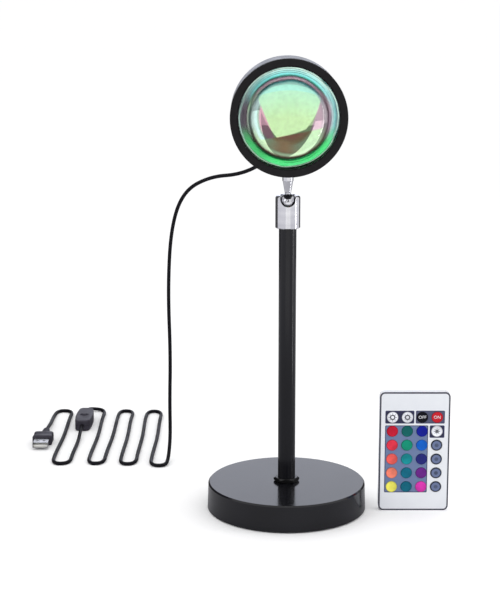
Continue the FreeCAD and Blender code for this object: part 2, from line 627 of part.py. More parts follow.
def cord_tube(name, route):
    """A flat-sided tube on straight runs joined by arcs as large as the runs allow."""
    points = [Vector(*point) for point in route]
    edges = []
    cursor = points[0]
    for before, corner, after in zip(points, points[1:], points[2:]):
        inward = corner - before
        outward = after - corner
        half_turn = inward.getAngle(outward) / 2
        trim = value("bend_share") * min(inward.Length, outward.Length)
        radius = trim / math.tan(half_turn)
        start = corner - Vector(inward).normalize() * trim
        finish = corner + Vector(outward).normalize() * trim
        bisector = (start + finish) * 0.5 - corner
        depth = radius / math.cos(half_turn) - radius
        middle = corner + bisector.normalize() * depth
        edges.append(Part.LineSegment(cursor, start).toShape())
        edges.append(Part.Arc(start, middle, finish).toShape())
        cursor = finish
    edges.append(Part.LineSegment(cursor, points[-1]).toShape())
    path = Part.Wire(edges)
    sides = int(value("cord_sides"))
    along = Vector(points[1] - points[0]).normalize()
    aside = along.cross(Vector(0, 0, 1)).normalize()
    corners = []
    for number in range(sides + 1):
        turn = FreeCAD.Rotation(along, 360 * (number + 0.5) / sides)
        corners.append(points[0] + turn.multVec(aside) * value("cord_dia / 2"))
    piece = doc.addObject("Part::Feature", name)
    piece.Shape = path.makePipeShell([Part.makePolygon(corners)], True, False)
    print(name, "length %.1f mm" % path.Length)
    return piece


pieces.append(cord_tube("cord_lead", lead_route))
pieces.append(cord_tube("cord_tail", tail_route))

# ---- Inline switch: two shells, a push button in a raised ring, its contacts ----
switch_spot = ("switch_x", "switch_y", "0")
half_end = "(switch_end / 2)"
bulge_rise = f"(switch_width / 2 - {half_end})"


def switch_outline(sketch, inset="0", end_wall="0"):
    """Two bulged sides joined by straight ends."""
    wide = f"({half_end} - {inset})"
    tip = f"(switch_length / 2 - {end_wall})"
    radius = f"({tip} ^ 2 + {bulge_rise} ^ 2) / (2 * {bulge_rise})"
    outline(sketch, [(wide, f"-{tip}", radius, 1), (wide, tip), (f"-{wide}", tip, radius, 1),
                     (f"-{wide}", f"-{tip}")])


def switch_half(name, low, high, outer_face):
    """One half shell: rounded corners, a rounded outer edge and a hollow."""
    body = new_body(name, switch_spot)
    block = extruded(body, name + "_block", switch_outline, low, high)
    flat_ends = value("switch_length / 2") - 0.01
    corners = fillet(body, name + "_corners", block, "switch_corner",
                     lambda spot, edge: abs(spot.y) > flat_ends and abs(spot.x) > 1)
    face = value(outer_face)
    fillet(body, name + "_round", corners, "switch_round",
           lambda spot, edge: abs(spot.z - face) < 0.01)
    return body


def switch_hollow(sketch):
    switch_outline(sketch, "switch_wall", "switch_grip")


switch_base = switch_half("switch_base", "0", "switch_thick / 2", "0")
cut(switch_base, "lower_hollow", switch_hollow, "switch_wall", "switch_thick / 2")
pieces.append(switch_base)

switch_cover = switch_half("switch_cover", "switch_thick / 2", "switch_thick", "switch_thick")
extruded(switch_cover, "button_ring", lambda sketch: ring(sketch, "0", "0", "ring_dia / 2"),
         "switch_thick", "switch_thick + ring_proud")
hollow_top = "switch_thick - switch_wall"
cut(switch_cover, "upper_hollow", switch_hollow, "switch_thick / 2", hollow_top)
cut(switch_cover, "button_hole",
    lambda sketch: ring(sketch, "0", "0", "button_dia / 2 + part_gap"),
    hollow_top, "switch_thick + ring_proud")
pieces.append(switch_cover)

button_low = f"({hollow_top} - part_gap - button_flange_thick)"
switch_button = new_body("switch_button", switch_spot)
turned(switch_button, "button_turning", [
    ("0", button_low), ("button_dia / 2 + button_flange", button_low),
    ("button_dia / 2 + button_flange", f"{hollow_top} - part_gap"),
    ("button_dia / 2", f"{hollow_top} - part_gap"),
    ("button_dia / 2", "switch_thick + button_proud - button_edge"),
    ("button_dia / 2 - button_edge", "switch_thick + button_proud"),
    ("0", "switch_thick + button_proud")])
pieces.append(switch_button)

switch_core = new_body("switch_core", switch_spot)
core_top = f"({button_low} - button_travel - core_gap)"
extruded(switch_core, "contact_block",
         lambda sketch: outline(sketch, box_outline(
             "-core_width / 2", "-core_length / 2", "core_width / 2", "core_length / 2")),
         "switch_wall", core_top)
pieces.append(switch_core)

# ---- Plug: moulded grip with a ribbed neck, steel shell and contact tongue ----
plug_spot = ("plug_x", "plug_y", "grip_thick / 2")
grip_back = "-strain_length"
grip_front = "(-strain_length - grip_length)"
plug_body = new_body("plug_body", plug_spot)
plug_half = "grip_width / 2"
grip = extruded(plug_body, "grip",
                lambda sketch: outline(sketch, [
                    (f"-{plug_half}", grip_front), (plug_half, grip_front),
                    (plug_half, f"{grip_back} - grip_shoulder"), ("strain_width / 2", grip_back),
                    ("-strain_width / 2", grip_back),
                    (f"-{plug_half}", f"{grip_back} - grip_shoulder")]),
                "-grip_thick / 2", "grip_thick / 2")
grip_corner = value("grip_width / 2") - 0.01
grip_face = value("grip_thick / 2") - 0.01
fillet(plug_body, "grip_round", grip, "grip_round",
       lambda spot, edge: abs(spot.x) > grip_corner and abs(spot.z) > grip_face)


def neck_shape(sketch):
    """The strain relief tapers to the cord, with three grooves on each side."""
    right = [("strain_width / 2", grip_back)]
    for groove in range(3):
        share = f"(groove_first + groove_step * {groove})"
        near = f"{grip_back} + strain_length * {share}"
        wide = f"(strain_width / 2 - (strain_width - strain_tip) / 2 * {share})"
        right.append((wide, near))
        right.append((f"{wide} - groove_depth", near))
        right.append((f"{wide} - groove_depth", f"{near} + groove_width"))
        right.append((wide, f"{near} + groove_width"))
    right.append(("strain_tip / 2", "0"))
    left = [(f"-({x})", y) for x, y in reversed(right)]
    outline(sketch, right + left)


extruded(plug_body, "neck", neck_shape, "-strain_tip / 2", "strain_tip / 2")
pieces.append(plug_body)

shell_spot = ("plug_x", f"plug_y + {grip_front}", "grip_thick / 2")
plug_shell = new_body("plug_shell", shell_spot, face_forward)
extruded(plug_shell, "shell_tube",
         lambda sketch: outline(sketch, rounded_outline("usb_width / 2", "-usb_thick / 2",
                                                        "usb_thick / 2", "usb_wall * 2")),
         "0", "usb_length")
cut(plug_shell, "shell_mouth",
    lambda sketch: outline(sketch, box_outline(
        "-usb_width / 2 + usb_wall", "-usb_thick / 2 + usb_wall",
        "usb_width / 2 - usb_wall", "usb_thick / 2 - usb_wall")),
    "0", "usb_length")


def shell_holes(sketch):
    """Two square holes side by side, seen from above."""
    for side in (-1, 1):
        middle = f"{side} * usb_hole_apart / 2"
        outline(sketch, box_outline(
            f"{middle} - usb_hole / 2", "usb_length - usb_hole_back - usb_hole / 2",
            f"{middle} + usb_hole / 2", "usb_length - usb_hole_back + usb_hole / 2"))


cut(plug_shell, "latch_holes", shell_holes, "-usb_thick", "usb_thick", "XZ_Plane")
pieces.append(plug_shell)

plug_tongue = new_body("plug_tongue", shell_spot, face_forward)
tongue_low = "(-usb_thick / 2 + usb_wall + part_gap)"
extruded(plug_tongue, "tongue_bar",
         lambda sketch: outline(sketch, box_outline(
             "-tongue_width / 2", tongue_low, "tongue_width / 2",
             f"{tongue_low} + tongue_thick")),
         "0", "tongue_length")
pieces.append(plug_tongue)

# ---- Handset: its own Z comes out of the face and its Y is up ----
handset_spot = ("handset_x", "handset_back", "0")
case_depth = "(handset_thick - overlay_thick)"
ledge = "(back_wall + bay_depth)"
half_case = "handset_width / 2"
slot_half = "(tray_width / 2 + part_gap)"


def handset_body(name):
    return new_body(name, handset_spot, face_forward)


handset_case = handset_body("handset_case")
case_block = extruded(
    handset_case, "case_block",
    lambda sketch: outline(sketch, rounded_outline(half_case, "0", "handset_height",
                                                   "handset_corner")),
    "0", case_depth)
fillet(handset_case, "case_edge", case_block, "handset_edge", lambda spot, edge: spot.z < 0.01)
cut(handset_case, "board_recess",
    lambda sketch: outline(sketch, rounded_outline(
        f"({half_case} - handset_wall)", "handset_wall", "(handset_height - handset_wall)",
        "(handset_corner - handset_wall)")),
    ledge, case_depth)
cut(handset_case, "battery_bay",
    lambda sketch: outline(sketch, box_outline(
        "-bay_width / 2", "handset_wall", "bay_width / 2", "bay_length")),
    "back_wall", ledge)
cut(handset_case, "tray_slot",
    lambda sketch: outline(sketch, box_outline(
        f"-{slot_half}", "-handset_wall", slot_half, "handset_wall * 2")),
    "back_wall", ledge)
pieces.append(handset_case)

# keys: six rows of four, counted from the top left of the face
key_spots = []
for row in range(6):
    for column in range(4):
        key_x = f"({column} - 1.5) * key_pitch_x"
        key_y = f"handset_height - key_first - {row} * key_pitch_y"
        key_spots.append((row + 1, column + 1, key_x, key_y))


def key_holes(sketch):
    for _, _, key_x, key_y in key_spots:
        ring(sketch, key_x, key_y, "key_dia / 2 + part_gap")


handset_overlay = handset_body("handset_overlay")
extruded(handset_overlay, "overlay_plate",
         lambda sketch: outline(sketch, rounded_outline(half_case, "0", "handset_height",
                                                        "handset_corner")),
         case_depth, "handset_thick")
cut(handset_overlay, "key_windows", key_holes, case_depth, "handset_thick")
pieces.append(handset_overlay)

handset_board = handset_body("handset_board")
extruded(handset_board, "board_plate",
         lambda sketch: outline(sketch, box_outline(
             f"-({half_case} - board_margin)", "board_margin",
             f"{half_case} - board_margin", "handset_height - board_margin")),
         ledge, f"{ledge} + board_thick")
pieces.append(handset_board)

key_low = f"({ledge} + board_thick + key_travel + part_gap)"
for row, column, key_x, key_y in key_spots:
    key = doc.addObject("Part::Cylinder", "handset_key_%d%d" % (row, column))
    key.setExpression("Radius", cells("key_dia / 2"))
    key.setExpression("Height", cells(f"handset_thick + key_proud - {key_low}"))
    place(key, (f"handset_x + {key_x}", f"handset_back - {key_low}", key_y), face_forward)
    pieces.append(key)

battery_tray = handset_body("battery_tray")
tray_low = "(back_wall + (bay_depth - tray_thick) / 2)"
coin_y = "(tray_recess + tray_length - coin_well / 2 - coin_wall)"
extruded(battery_tray, "tray_plate",
         lambda sketch: outline(sketch, box_outline(
             "-tray_width / 2", "tray_recess", "tray_width / 2", "tray_recess + tray_length")),
         tray_low, f"{tray_low} + tray_thick")
cut(battery_tray, "coin_well", lambda sketch: ring(sketch, "0", coin_y, "coin_well / 2"),
    f"{tray_low} + tray_floor", f"{tray_low} + tray_thick")
pieces.append(battery_tray)

coin_battery = handset_body("coin_battery")
extruded(coin_battery, "coin_cell", lambda sketch: ring(sketch, "0", coin_y, "coin_dia / 2"),
         f"{tray_low} + tray_floor", f"{tray_low} + tray_floor + coin_thick")
pieces.append(coin_battery)

# ---- Check every object, then write one file for each piece ----
doc.recompute()
for item in doc.Objects:
    if "Invalid" in item.State or "Error" in item.State:
        raise RuntimeError("%s did not build: %s" % (item.Name, item.State))
for item in doc.Objects:
    if item.TypeId == "PartDesign::Pocket":
        removed = item.BaseFeature.Shape.Volume - item.Shape.Volume
        if removed < 0.01:
            raise RuntimeError("%s cuts nothing" % item.Name)
for piece in pieces:
    if piece.Shape.isNull() or not piece.Shape.isValid():
        raise RuntimeError("%s has no valid shape" % piece.Label)
for piece in pieces:
    piece.Shape.exportStep("parts/%s.step" % piece.Label)
print(len(pieces), "pieces written")
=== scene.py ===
import math

import bmesh
import bpy
from mathutils import Matrix, Vector


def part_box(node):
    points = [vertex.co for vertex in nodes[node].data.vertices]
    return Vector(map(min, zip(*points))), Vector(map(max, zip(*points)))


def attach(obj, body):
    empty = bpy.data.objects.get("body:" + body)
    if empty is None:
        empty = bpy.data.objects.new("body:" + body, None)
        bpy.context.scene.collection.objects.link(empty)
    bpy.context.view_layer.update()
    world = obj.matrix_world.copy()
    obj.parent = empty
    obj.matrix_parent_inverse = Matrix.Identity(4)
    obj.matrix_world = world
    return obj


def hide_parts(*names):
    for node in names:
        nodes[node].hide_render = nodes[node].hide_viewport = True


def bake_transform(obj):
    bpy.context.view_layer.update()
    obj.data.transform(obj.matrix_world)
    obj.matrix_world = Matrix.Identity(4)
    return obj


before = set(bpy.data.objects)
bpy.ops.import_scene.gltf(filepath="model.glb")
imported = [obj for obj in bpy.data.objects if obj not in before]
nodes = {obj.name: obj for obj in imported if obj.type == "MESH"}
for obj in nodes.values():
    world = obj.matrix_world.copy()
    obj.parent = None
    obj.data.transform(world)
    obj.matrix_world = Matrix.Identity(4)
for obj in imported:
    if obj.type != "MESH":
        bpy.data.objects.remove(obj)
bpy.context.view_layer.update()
scene = bpy.context.scene
mm = 0.001
print("frame loaded:", len(nodes), "nodes")


# helpers for meshes
def addPiece(name, bm, body, material, replaced=(), creaseAngle=32):
    # turns a bmesh into a smooth shaded piece that rides on its body
    bmesh.ops.recalc_face_normals(bm, faces=bm.faces)
    mesh = bpy.data.meshes.new(name)
    bm.to_mesh(mesh)
    bm.free()
    return addMesh(name, mesh, body, material, replaced, creaseAngle)


def addMesh(name, mesh, body, material, replaced=(), creaseAngle=32):
    for face in mesh.polygons:
        face.use_smooth = True
    mesh.set_sharp_from_angle(angle=math.radians(creaseAngle))
    mesh.materials.clear()
    mesh.materials.append(material)
    piece = bpy.data.objects.new(name, mesh)
    scene.collection.objects.link(piece)
    if body:
        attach(piece, body)
    if replaced:
        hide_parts(*replaced)
    return piece


def joinRings(bm, rings, closed=False):
    # faces between neighbouring rings; a ring of one point is a tip
    pairs = list(zip(rings, rings[1:]))
    if closed:
        pairs.append((rings[-1], rings[0]))
    for near, far in pairs:
        count = max(len(near), len(far))
        for step in range(count):
            after = (step + 1) % count
            corners = [near[step % len(near)], near[after % len(near)],
                       far[after % len(far)], far[step % len(far)]]
            corners = list(dict.fromkeys(corners))
            if len(corners) > 2:
                bm.faces.new(corners)


def turn(bm, profile, place, segments, closed=False):
    # revolves (radius, height) points in millimetres around the local Z axis
    rings = []
    for radius, height in profile:
        if radius < 0.001:  # a point on the axis
            rings.append([bm.verts.new(place @ Vector((0, 0, height * mm)))])
            continue
        ring = []
        for step in range(segments):
            angle = 2 * math.pi * step / segments
            spot = Vector((radius * math.cos(angle), radius * math.sin(angle), height)) * mm
            ring.append(bm.verts.new(place @ spot))
        rings.append(ring)
    joinRings(bm, rings, closed)


def arc(middle, radius, first, last, steps):
    # points of a circular arc in a profile, angles in degrees
    points = []
    for step in range(steps + 1):
        angle = math.radians(first + (last - first) * step / steps)
        points.append((middle[0] + radius * math.cos(angle), middle[1] + radius * math.sin(angle)))
    return points


def roundedSection(halfWidth, halfHeight, corner, steps=6):
    # a rectangle with round corners, anticlockwise from the right
    points = []
    for quarter, (side, top) in enumerate([(1, 1), (-1, 1), (-1, -1), (1, -1)]):
        middle = (side * (halfWidth - corner), top * (halfHeight - corner))
        points += arc(middle, corner, 90 * quarter, 90 * quarter + 90, steps)
    return points


def loft(bm, sections, place):
    # sections are (lengthwise position, outline points); both ends are closed
    rings = []
    for position, outline in sections:
        ring = [bm.verts.new(place @ (Vector((x, y, position)) * mm)) for x, y in outline]
        rings.append(ring)
    joinRings(bm, rings)
    bm.faces.new(rings[0])
    bm.faces.new(rings[-1])


def facing(x, y, z):
    # local Z looks at the camera side, local Y is up
    return Matrix.Translation((x, y, z)) @ Matrix.Rotation(math.radians(90), 4, "X")


def middleOf(nodeName):
    low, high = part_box(nodeName)
    return (low + high) / 2


# helpers for materials
def tint(red, green, blue):
    # a colour given as 0 to 255 on screen, as the shader wants it
    channels = []
    for level in (red, green, blue):
        share = level / 255
        channels.append(share / 12.92 if share < 0.04045 else ((share + 0.055) / 1.055) ** 2.4)
    return (*channels, 1)


def node(tree, kind, settings=None, **inputs):
    # adds a shader node; _0, _1 and so on give its inputs by number
    made = tree.nodes.new("ShaderNode" + kind)
    for name, choice in (settings or {}).items():
        setattr(made, name, choice)
    for name, amount in inputs.items():
        socket = made.inputs[int(name[1:])] if name[0] == "_" else made.inputs[name.replace("_", " ")]
        if isinstance(amount, bpy.types.NodeSocket):
            tree.links.new(amount, socket)
        else:
            socket.default_value = amount
    return made


def mathNode(tree, operation, *amounts, kind="Math"):
    inputs = {"_%d" % index: amount for index, amount in enumerate(amounts)}
    return node(tree, kind, {"operation": operation}, **inputs).outputs[0]


def vectorNode(tree, operation, *amounts):
    return mathNode(tree, operation, *amounts, kind="VectorMath")


def vectorNumber(tree, operation, *amounts):
    # a length or a dot product
    return vectorNode(tree, operation, *amounts).node.outputs["Value"]


def scaled(tree, colour, share):
    return node(tree, "VectorMath", {"operation": "SCALE"}, _0=colour, Scale=share).outputs[0]


def mixed(tree, share, first, second):
    return node(tree, "Mix", {"data_type": "RGBA"}, _0=share, _6=first, _7=second).outputs[2]


def spanned(tree, amount, fromLow, fromHigh, low, high, ease="LINEAR"):
    return node(tree, "MapRange", {"interpolation_type": ease}, Value=amount, From_Min=fromLow,
                From_Max=fromHigh, To_Min=low, To_Max=high).outputs[0]


def ramped(tree, share, stops):
    # stops are (place, colour) pairs, and a new ramp already has two
    ramp = node(tree, "ValToRGB", Fac=share)
    made = ramp.color_ramp.elements
    for index, (place, colour) in enumerate(stops):
        stop = made[index] if index < 2 else made.new(place)
        stop.position = place
        stop.color = colour
    return ramp.outputs[0]


def noise(tree, spot, size, detail=3):
    # size is the width of a speck in millimetres; most values lie between 0.3 and 0.7
    return node(tree, "TexNoise", Vector=spot, Scale=1 / mm / size, Detail=detail).outputs[0]


def baseColour(shader):
    return shader.inputs["Base Color"].links[0].from_socket


def plainRays(tree, path):
    # 1 for rays from the camera and from matt surfaces, 0 for gloss and glass
    return mathNode(tree, "ADD", path.outputs["Is Camera Ray"], path.outputs["Is Diffuse Ray"])


# what a finish has where it gives nothing else, in millimetres
plainLook = {"patch": 8, "smudge": 14, "grain": 0.5, "depth": 0.01, "stretch": (1, 1, 1),
             "sockets": {}}


def finish(name, look):
    # a colour, mottled where there is a second one, an uneven gloss and a fine relief
    look = {**plainLook, **look}
    material = bpy.data.materials.new(name)
    material.use_nodes = True
    tree = material.node_tree
    shader = tree.nodes["Principled BSDF"]
    for socket, amount in look["sockets"].items():
        shader.inputs[socket].default_value = amount
    spot = node(tree, "TexCoord").outputs["Object"]
    stretched = node(tree, "Mapping", Vector=spot, Scale=look["stretch"]).outputs[0]
    shader.inputs["Base Color"].default_value = tint(*look["colour"])
    if "second" in look:
        patches = spanned(tree, noise(tree, stretched, look["patch"], 4), 0.35, 0.65, 0, 1)
        colour = mixed(tree, patches, tint(*look["colour"]), tint(*look["second"]))
        tree.links.new(colour, shader.inputs["Base Color"])
    smudge = noise(tree, stretched, look["smudge"], 5)
    tree.links.new(spanned(tree, smudge, 0.3, 0.7, *look["rough"]), shader.inputs["Roughness"])
    relief = noise(tree, stretched, look["grain"], 2)
    bump = node(tree, "Bump", Height=relief, Strength=1, Distance=look["depth"] * mm)
    tree.links.new(bump.outputs[0], shader.inputs["Normal"])
    return material, tree, shader, spot


def dress(material, *names):
    for name in names:
        piece = nodes[name]
        for slot in piece.material_slots:
            slot.material = material


# camera
cameraLook = {
    "place": (-0.0255, -1.030, 0.3626), "downward": 11.77, "lens": 92.4, "sensor": 36,
}


def makeCamera(look):
    data = bpy.data.cameras.new("camera")
    data.lens = look["lens"]
    data.sensor_width = look["sensor"]
    camera = bpy.data.objects.new("camera", data)
    camera.location = look["place"]
    camera.rotation_euler = (math.radians(90 - look["downward"]), 0, 0)
    scene.collection.objects.link(camera)
    scene.camera = camera


makeCamera(cameraLook)
print("camera placed")


# cords: the route's points in metres, floor stretches a radius up
cordLook = {
    "diameter": 0.0028, "leadLength": 1.1469, "tailLength": 0.3208,
    # the lead goes with the head above bendTop and with the swivel below bendLow
    "bendTop": (0, 0, 0.2455), "bendLow": (0, 0, 0.100),
    "spanSteps": 12, "roundness": 5, "creaseAngle": 60,
    "jacket": {
        "colour": (9, 7, 15), "second": (13, 11, 20), "patch": 6, "rough": (0.42, 0.56),
        "grain": 0.35, "depth": 0.008, "sockets": {"Specular IOR Level": 0.16},
    },
}
floor = cordLook["diameter"] / 2
leadRoute = [
    (-0.005, 0.036, 0.2475), (-0.005, 0.056, 0.2475), (-0.014, 0.075, 0.234),
    (-0.032, 0.090, 0.223), (-0.055, 0.101, 0.220), (-0.075, 0.110, 0.208),
    (-0.085, 0.117, 0.180), (-0.088, 0.1195, 0.132), (-0.0865, 0.118, 0.080),
    (-0.0875, 0.118, 0.044), (-0.087, 0.114, 0.017), (-0.088, 0.102, 0.003),
    (-0.0895, 0.088, floor), (-0.101, 0.0885, floor), (-0.1015, 0.112, floor),
    (-0.100, 0.160, floor), (-0.101, 0.209, floor), (-0.1005, 0.237, floor),
    (-0.1125, 0.239, floor), (-0.1135, 0.214, floor), (-0.112, 0.166, floor),
    (-0.113, 0.118, floor), (-0.1125, 0.093, floor), (-0.1245, 0.0915, floor),
    (-0.125, 0.116, floor), (-0.124, 0.164, floor), (-0.1255, 0.212, floor),
    (-0.1245, 0.238, floor), (-0.1365, 0.240, floor), (-0.137, 0.215, floor),
    (-0.136, 0.167, floor), (-0.1375, 0.119, floor), (-0.137, 0.094, floor),
    (-0.149, 0.093, floor), (-0.1495, 0.117, floor), (-0.148, 0.165, floor),
    (-0.1495, 0.214, floor), (-0.149, 0.242, floor), (-0.162, 0.2435, 0.0024),
    (-0.163, 0.232, 0.0045), (-0.163, 0.223, 0.0045)]
tailRoute = [
    (-0.163, 0.183, 0.0045), (-0.163, 0.172, 0.0045), (-0.1625, 0.150, floor),
    (-0.1635, 0.117, floor), (-0.163, 0.094, floor), (-0.176, 0.0925, floor),
    (-0.177, 0.117, floor), (-0.1755, 0.165, floor), (-0.177, 0.213, floor),
    (-0.1765, 0.239, floor), (-0.190, 0.2405, floor), (-0.191, 0.217, floor),
    (-0.1903, 0.195, 0.0028), (-0.1905, 0.182, 0.004), (-0.1905, 0.172, 0.004)]


def routeCurve(name, route, look):
    curve = bpy.data.curves.new(name, "CURVE")
    curve.dimensions = "3D"
    spline = curve.splines.new("NURBS")
    spline.points.add(len(route) - 1)
    for point, spot in zip(spline.points, route):
        point.co = (*spot, 1)
    spline.order_u = 3
    spline.use_endpoint_u = True
    curve.resolution_u = look["spanSteps"]
    return curve


def meshOfCurve(curve):
    holder = bpy.data.objects.new("curveHolder", curve)
    scene.collection.objects.link(holder)
    bpy.context.view_layer.update()
    shown = holder.evaluated_get(bpy.context.evaluated_depsgraph_get())
    mesh = bpy.data.meshes.new_from_object(shown)
    bpy.data.objects.remove(holder)
    return mesh


def makeCord(name, route, nodeName, jacket, look):
    curve = routeCurve(name + "Route", route, look)
    centreLine = [vertex.co.copy() for vertex in meshOfCurve(curve).vertices]
    curve.bevel_depth = look["diameter"] / 2
    curve.bevel_resolution = look["roundness"]
    curve.use_fill_caps = True
    mesh = meshOfCurve(curve)
    mesh.name = name
    cord = addMesh(name, mesh, None, jacket, (nodeName,), look["creaseAngle"])
    return cord, centreLine


def cordJacket(look):
    return finish("cordJacket", look["jacket"])[0]


jacket = cordJacket(cordLook)
cordLead, leadLine = makeCord("cordLead", leadRoute, "cord_lead", jacket, cordLook)
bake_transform(cordLead)
cordTail, tailLine = makeCord("cordTail", tailRoute, "cord_tail", jacket, cordLook)
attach(cordTail, "swivel")
print("cords laid")


# floor and light
stageLook = {
    "floorSize": 60, "floorCells": 24, "floorColour": (252, 252, 253), "worldFill": 1.03,
    # the floor in gloss: near and far greys and their reach in metres, and through glass
    "mirroredNear": (172, 172, 176), "mirroredFar": (232, 232, 236), "mirroredReach": (0.2, 1.5),
    "throughGlass": (204, 201, 205),
    # how bright the studio looks in gloss, from the camera's side round to the back
    "gain": 1.6,
    "studio": [(0.00, (0.24, 0.24, 0.25)), (0.10, (0.24, 0.24, 0.25)), (0.18, (0.80, 0.80, 0.81)),
               (0.72, (0.88, 0.88, 0.89)), (0.90, (1.20, 1.23, 1.34)), (1.00, (1.26, 1.31, 1.50))],
}


def makeFloor(look):
    bm = bmesh.new()
    bmesh.ops.create_grid(bm, x_segments=look["floorCells"], y_segments=look["floorCells"],
                          size=look["floorSize"] / 2)
    mesh = bpy.data.meshes.new("floor")
    bm.to_mesh(mesh)
    bm.free()
    floorPlane = bpy.data.objects.new("floor", mesh)
    scene.collection.objects.link(floorPlane)
    material, tree, shader, spot = finish("floorPaper", {
        "colour": look["floorColour"], "rough": (0.9, 0.95), "grain": 1.5, "depth": 0.005,
        "sockets": {"Specular IOR Level": 0.0}})
    # paper that lights evenly, but mirrors darker near the lamp so that gloss keeps its contrast
    path = node(tree, "LightPath")
    reach = spanned(tree, vectorNumber(tree, "LENGTH", spot), *look["mirroredReach"], 0, 1)
    mirrored = mixed(tree, reach, tint(*look["mirroredNear"]), tint(*look["mirroredFar"]))
    mirrored = mixed(tree, path.outputs["Is Transmission Ray"], mirrored,
                     tint(*look["throughGlass"]))
    paper = tint(*look["floorColour"])
    tree.links.new(mixed(tree, plainRays(tree, path), mirrored, paper),
                   shader.inputs["Base Color"])
    mesh.materials.append(material)


def makeWorld(look):
    world = bpy.data.worlds.new("studio")
    scene.world = world
    world.use_nodes = True
    world.cycles.sampling_method = "NONE"
    tree = world.node_tree
    gain = look["gain"]
    direction = node(tree, "TexCoord").outputs["Generated"]
    along = node(tree, "SeparateXYZ", Vector=direction).outputs[1]
    stops = [(place, (*(level / gain for level in levels), 1)) for place, levels in look["studio"]]
    studio = ramped(tree, spanned(tree, along, -1, 1, 0, 1), stops)
    fill = look["worldFill"] / gain
    lit = mixed(tree, plainRays(tree, node(tree, "LightPath")), studio, (fill, fill, fill, 1))
    tree.links.new(lit, tree.nodes["Background"].inputs["Color"])
    tree.nodes["Background"].inputs["Strength"].default_value = gain


softBoxes = {
    "leftBox": {"place": (-0.80, -0.90, 0.90), "size": (0.50, 0.80), "watts": 1.2},
    "overheadBox": {"place": (0.0, 0.15, 1.5), "size": (0.9, 0.7), "watts": 2.5},
    "poleStrip": {"place": (0.34, -0.08, 0.19), "size": (0.018, 0.36), "watts": 0.20},
}


def makeSoftBox(name, look, aim=Vector((0, 0, 0.2))):
    data = bpy.data.lights.new(name, "AREA")
    data.shape = "RECTANGLE"
    data.size, data.size_y = look["size"]
    data.energy = look["watts"]
    lamp = bpy.data.objects.new(name, data)
    lamp.location = look["place"]
    lamp.rotation_euler = (aim - lamp.location).to_track_quat("-Z", "Y").to_euler()
    lamp.visible_camera = False
    lamp.visible_transmission = False
    scene.collection.objects.link(lamp)


# cards that only gloss and glass see: corners from the lower left, and how bright they are
mirrorCards = {
    "bounceCard": {"corners": [(-0.29, -0.50, 0.02), (0.28, -0.46, 0.02), (0.42, -2.9, 0.60),
                               (-0.42, -2.9, 0.34)], "glow": 1.0},
    "leftCard": {"corners": [(-0.704, -1.354, 0.195), (-0.388, -1.479, 0.195),
                             (0.052, -1.529, 1.248), (-0.413, -1.472, 1.363)], "glow": 1.0},
    "rightCard": {"corners": [(0.50, -1.444, 0.01), (0.915, -1.219, 0.01),
                              (0.945, -1.195, 1.445), (0.42, -1.470, 1.445)], "glow": 1.1},
    "leftFlag": {"corners": [(-0.85, 0.24, 0.01), (-0.31, 0.85, 0.01), (-0.31, 0.85, 0.9),
                             (-0.85, 0.24, 0.9)], "glow": 0.06},
    "rightFlag": {"corners": [(0.74, 0.52, 0.01), (0.24, 0.87, 0.01), (0.24, 0.87, 0.9),
                              (0.74, 0.52, 0.9)], "glow": 0.06},
}


def makeMirrorCard(name, look):
    bm = bmesh.new()
    bm.faces.new([bm.verts.new(corner) for corner in look["corners"]])
    mesh = bpy.data.meshes.new(name)
    bm.to_mesh(mesh)
    bm.free()
    material = bpy.data.materials.new(name + "Glow")
    material.use_nodes = True
    shader = material.node_tree.nodes["Principled BSDF"]
    shader.inputs["Base Color"].default_value = (0, 0, 0, 1)
    shader.inputs["Emission Color"].default_value = (1, 1, 1, 1)
    shader.inputs["Emission Strength"].default_value = look["glow"]
    mesh.materials.append(material)
    card = bpy.data.objects.new(name, mesh)
    card.visible_camera = False
    card.visible_diffuse = False
    card.visible_shadow = False
    scene.collection.objects.link(card)


scene.view_settings.view_transform = "Standard"
makeFloor(stageLook)
makeWorld(stageLook)
for boxName, boxLook in softBoxes.items():
    makeSoftBox(boxName, boxLook)
for cardName, cardLook in mirrorCards.items():
    makeMirrorCard(cardName, cardLook)
print("floor and lights ready")


# finishes of the CAD pieces
def blackPaint():
    look = {"colour": (13, 13, 17), "second": (17, 17, 22), "patch": 30, "rough": (0.12, 0.19),
            "smudge": 22, "grain": 0.9, "depth": 0.004}
    return finish("blackPaint", look)[0]


def polePaint():
    look = {"colour": (13, 13, 18), "second": (18, 18, 24), "patch": 20, "rough": (0.14, 0.2),
            "smudge": 12, "stretch": (1, 1, 0.3), "grain": 0.7, "depth": 0.005,
            "sockets": {"Specular IOR Level": 0.36}}
    return finish("polePaint", look)[0]


def blackAluminium():
    look = {"colour": (16, 14, 17), "second": (21, 19, 22), "patch": 3, "rough": (0.46, 0.58),
            "smudge": 10, "grain": 0.22, "depth": 0.010, "sockets": {"Specular IOR Level": 0.2}}
    return finish("blackAluminium", look)[0]


def satinShell():
    look = {"colour": (22, 21, 25), "second": (28, 27, 31), "patch": 4, "rough": (0.26, 0.38),
            "smudge": 12, "grain": 0.25, "depth": 0.006, "sockets": {"Specular IOR Level": 0.22}}
    return finish("satinShell", look)[0]


def chrome():
    look = {"colour": (226, 226, 230), "second": (206, 206, 212), "patch": 5,
            "rough": (0.05, 0.12), "smudge": 3, "stretch": (0.15, 0.15, 1), "grain": 0.12,
            "depth": 0.0012, "sockets": {"Metallic": 1.0}}
    return finish("chrome", look)[0]


def castWeight():
    look = {"colour": (92, 92, 94), "second": (62, 61, 60), "patch": 6, "rough": (0.55, 0.8),
            "grain": 0.8, "depth": 0.08, "sockets": {"Metallic": 0.6}}
    return finish("castWeight", look)[0]


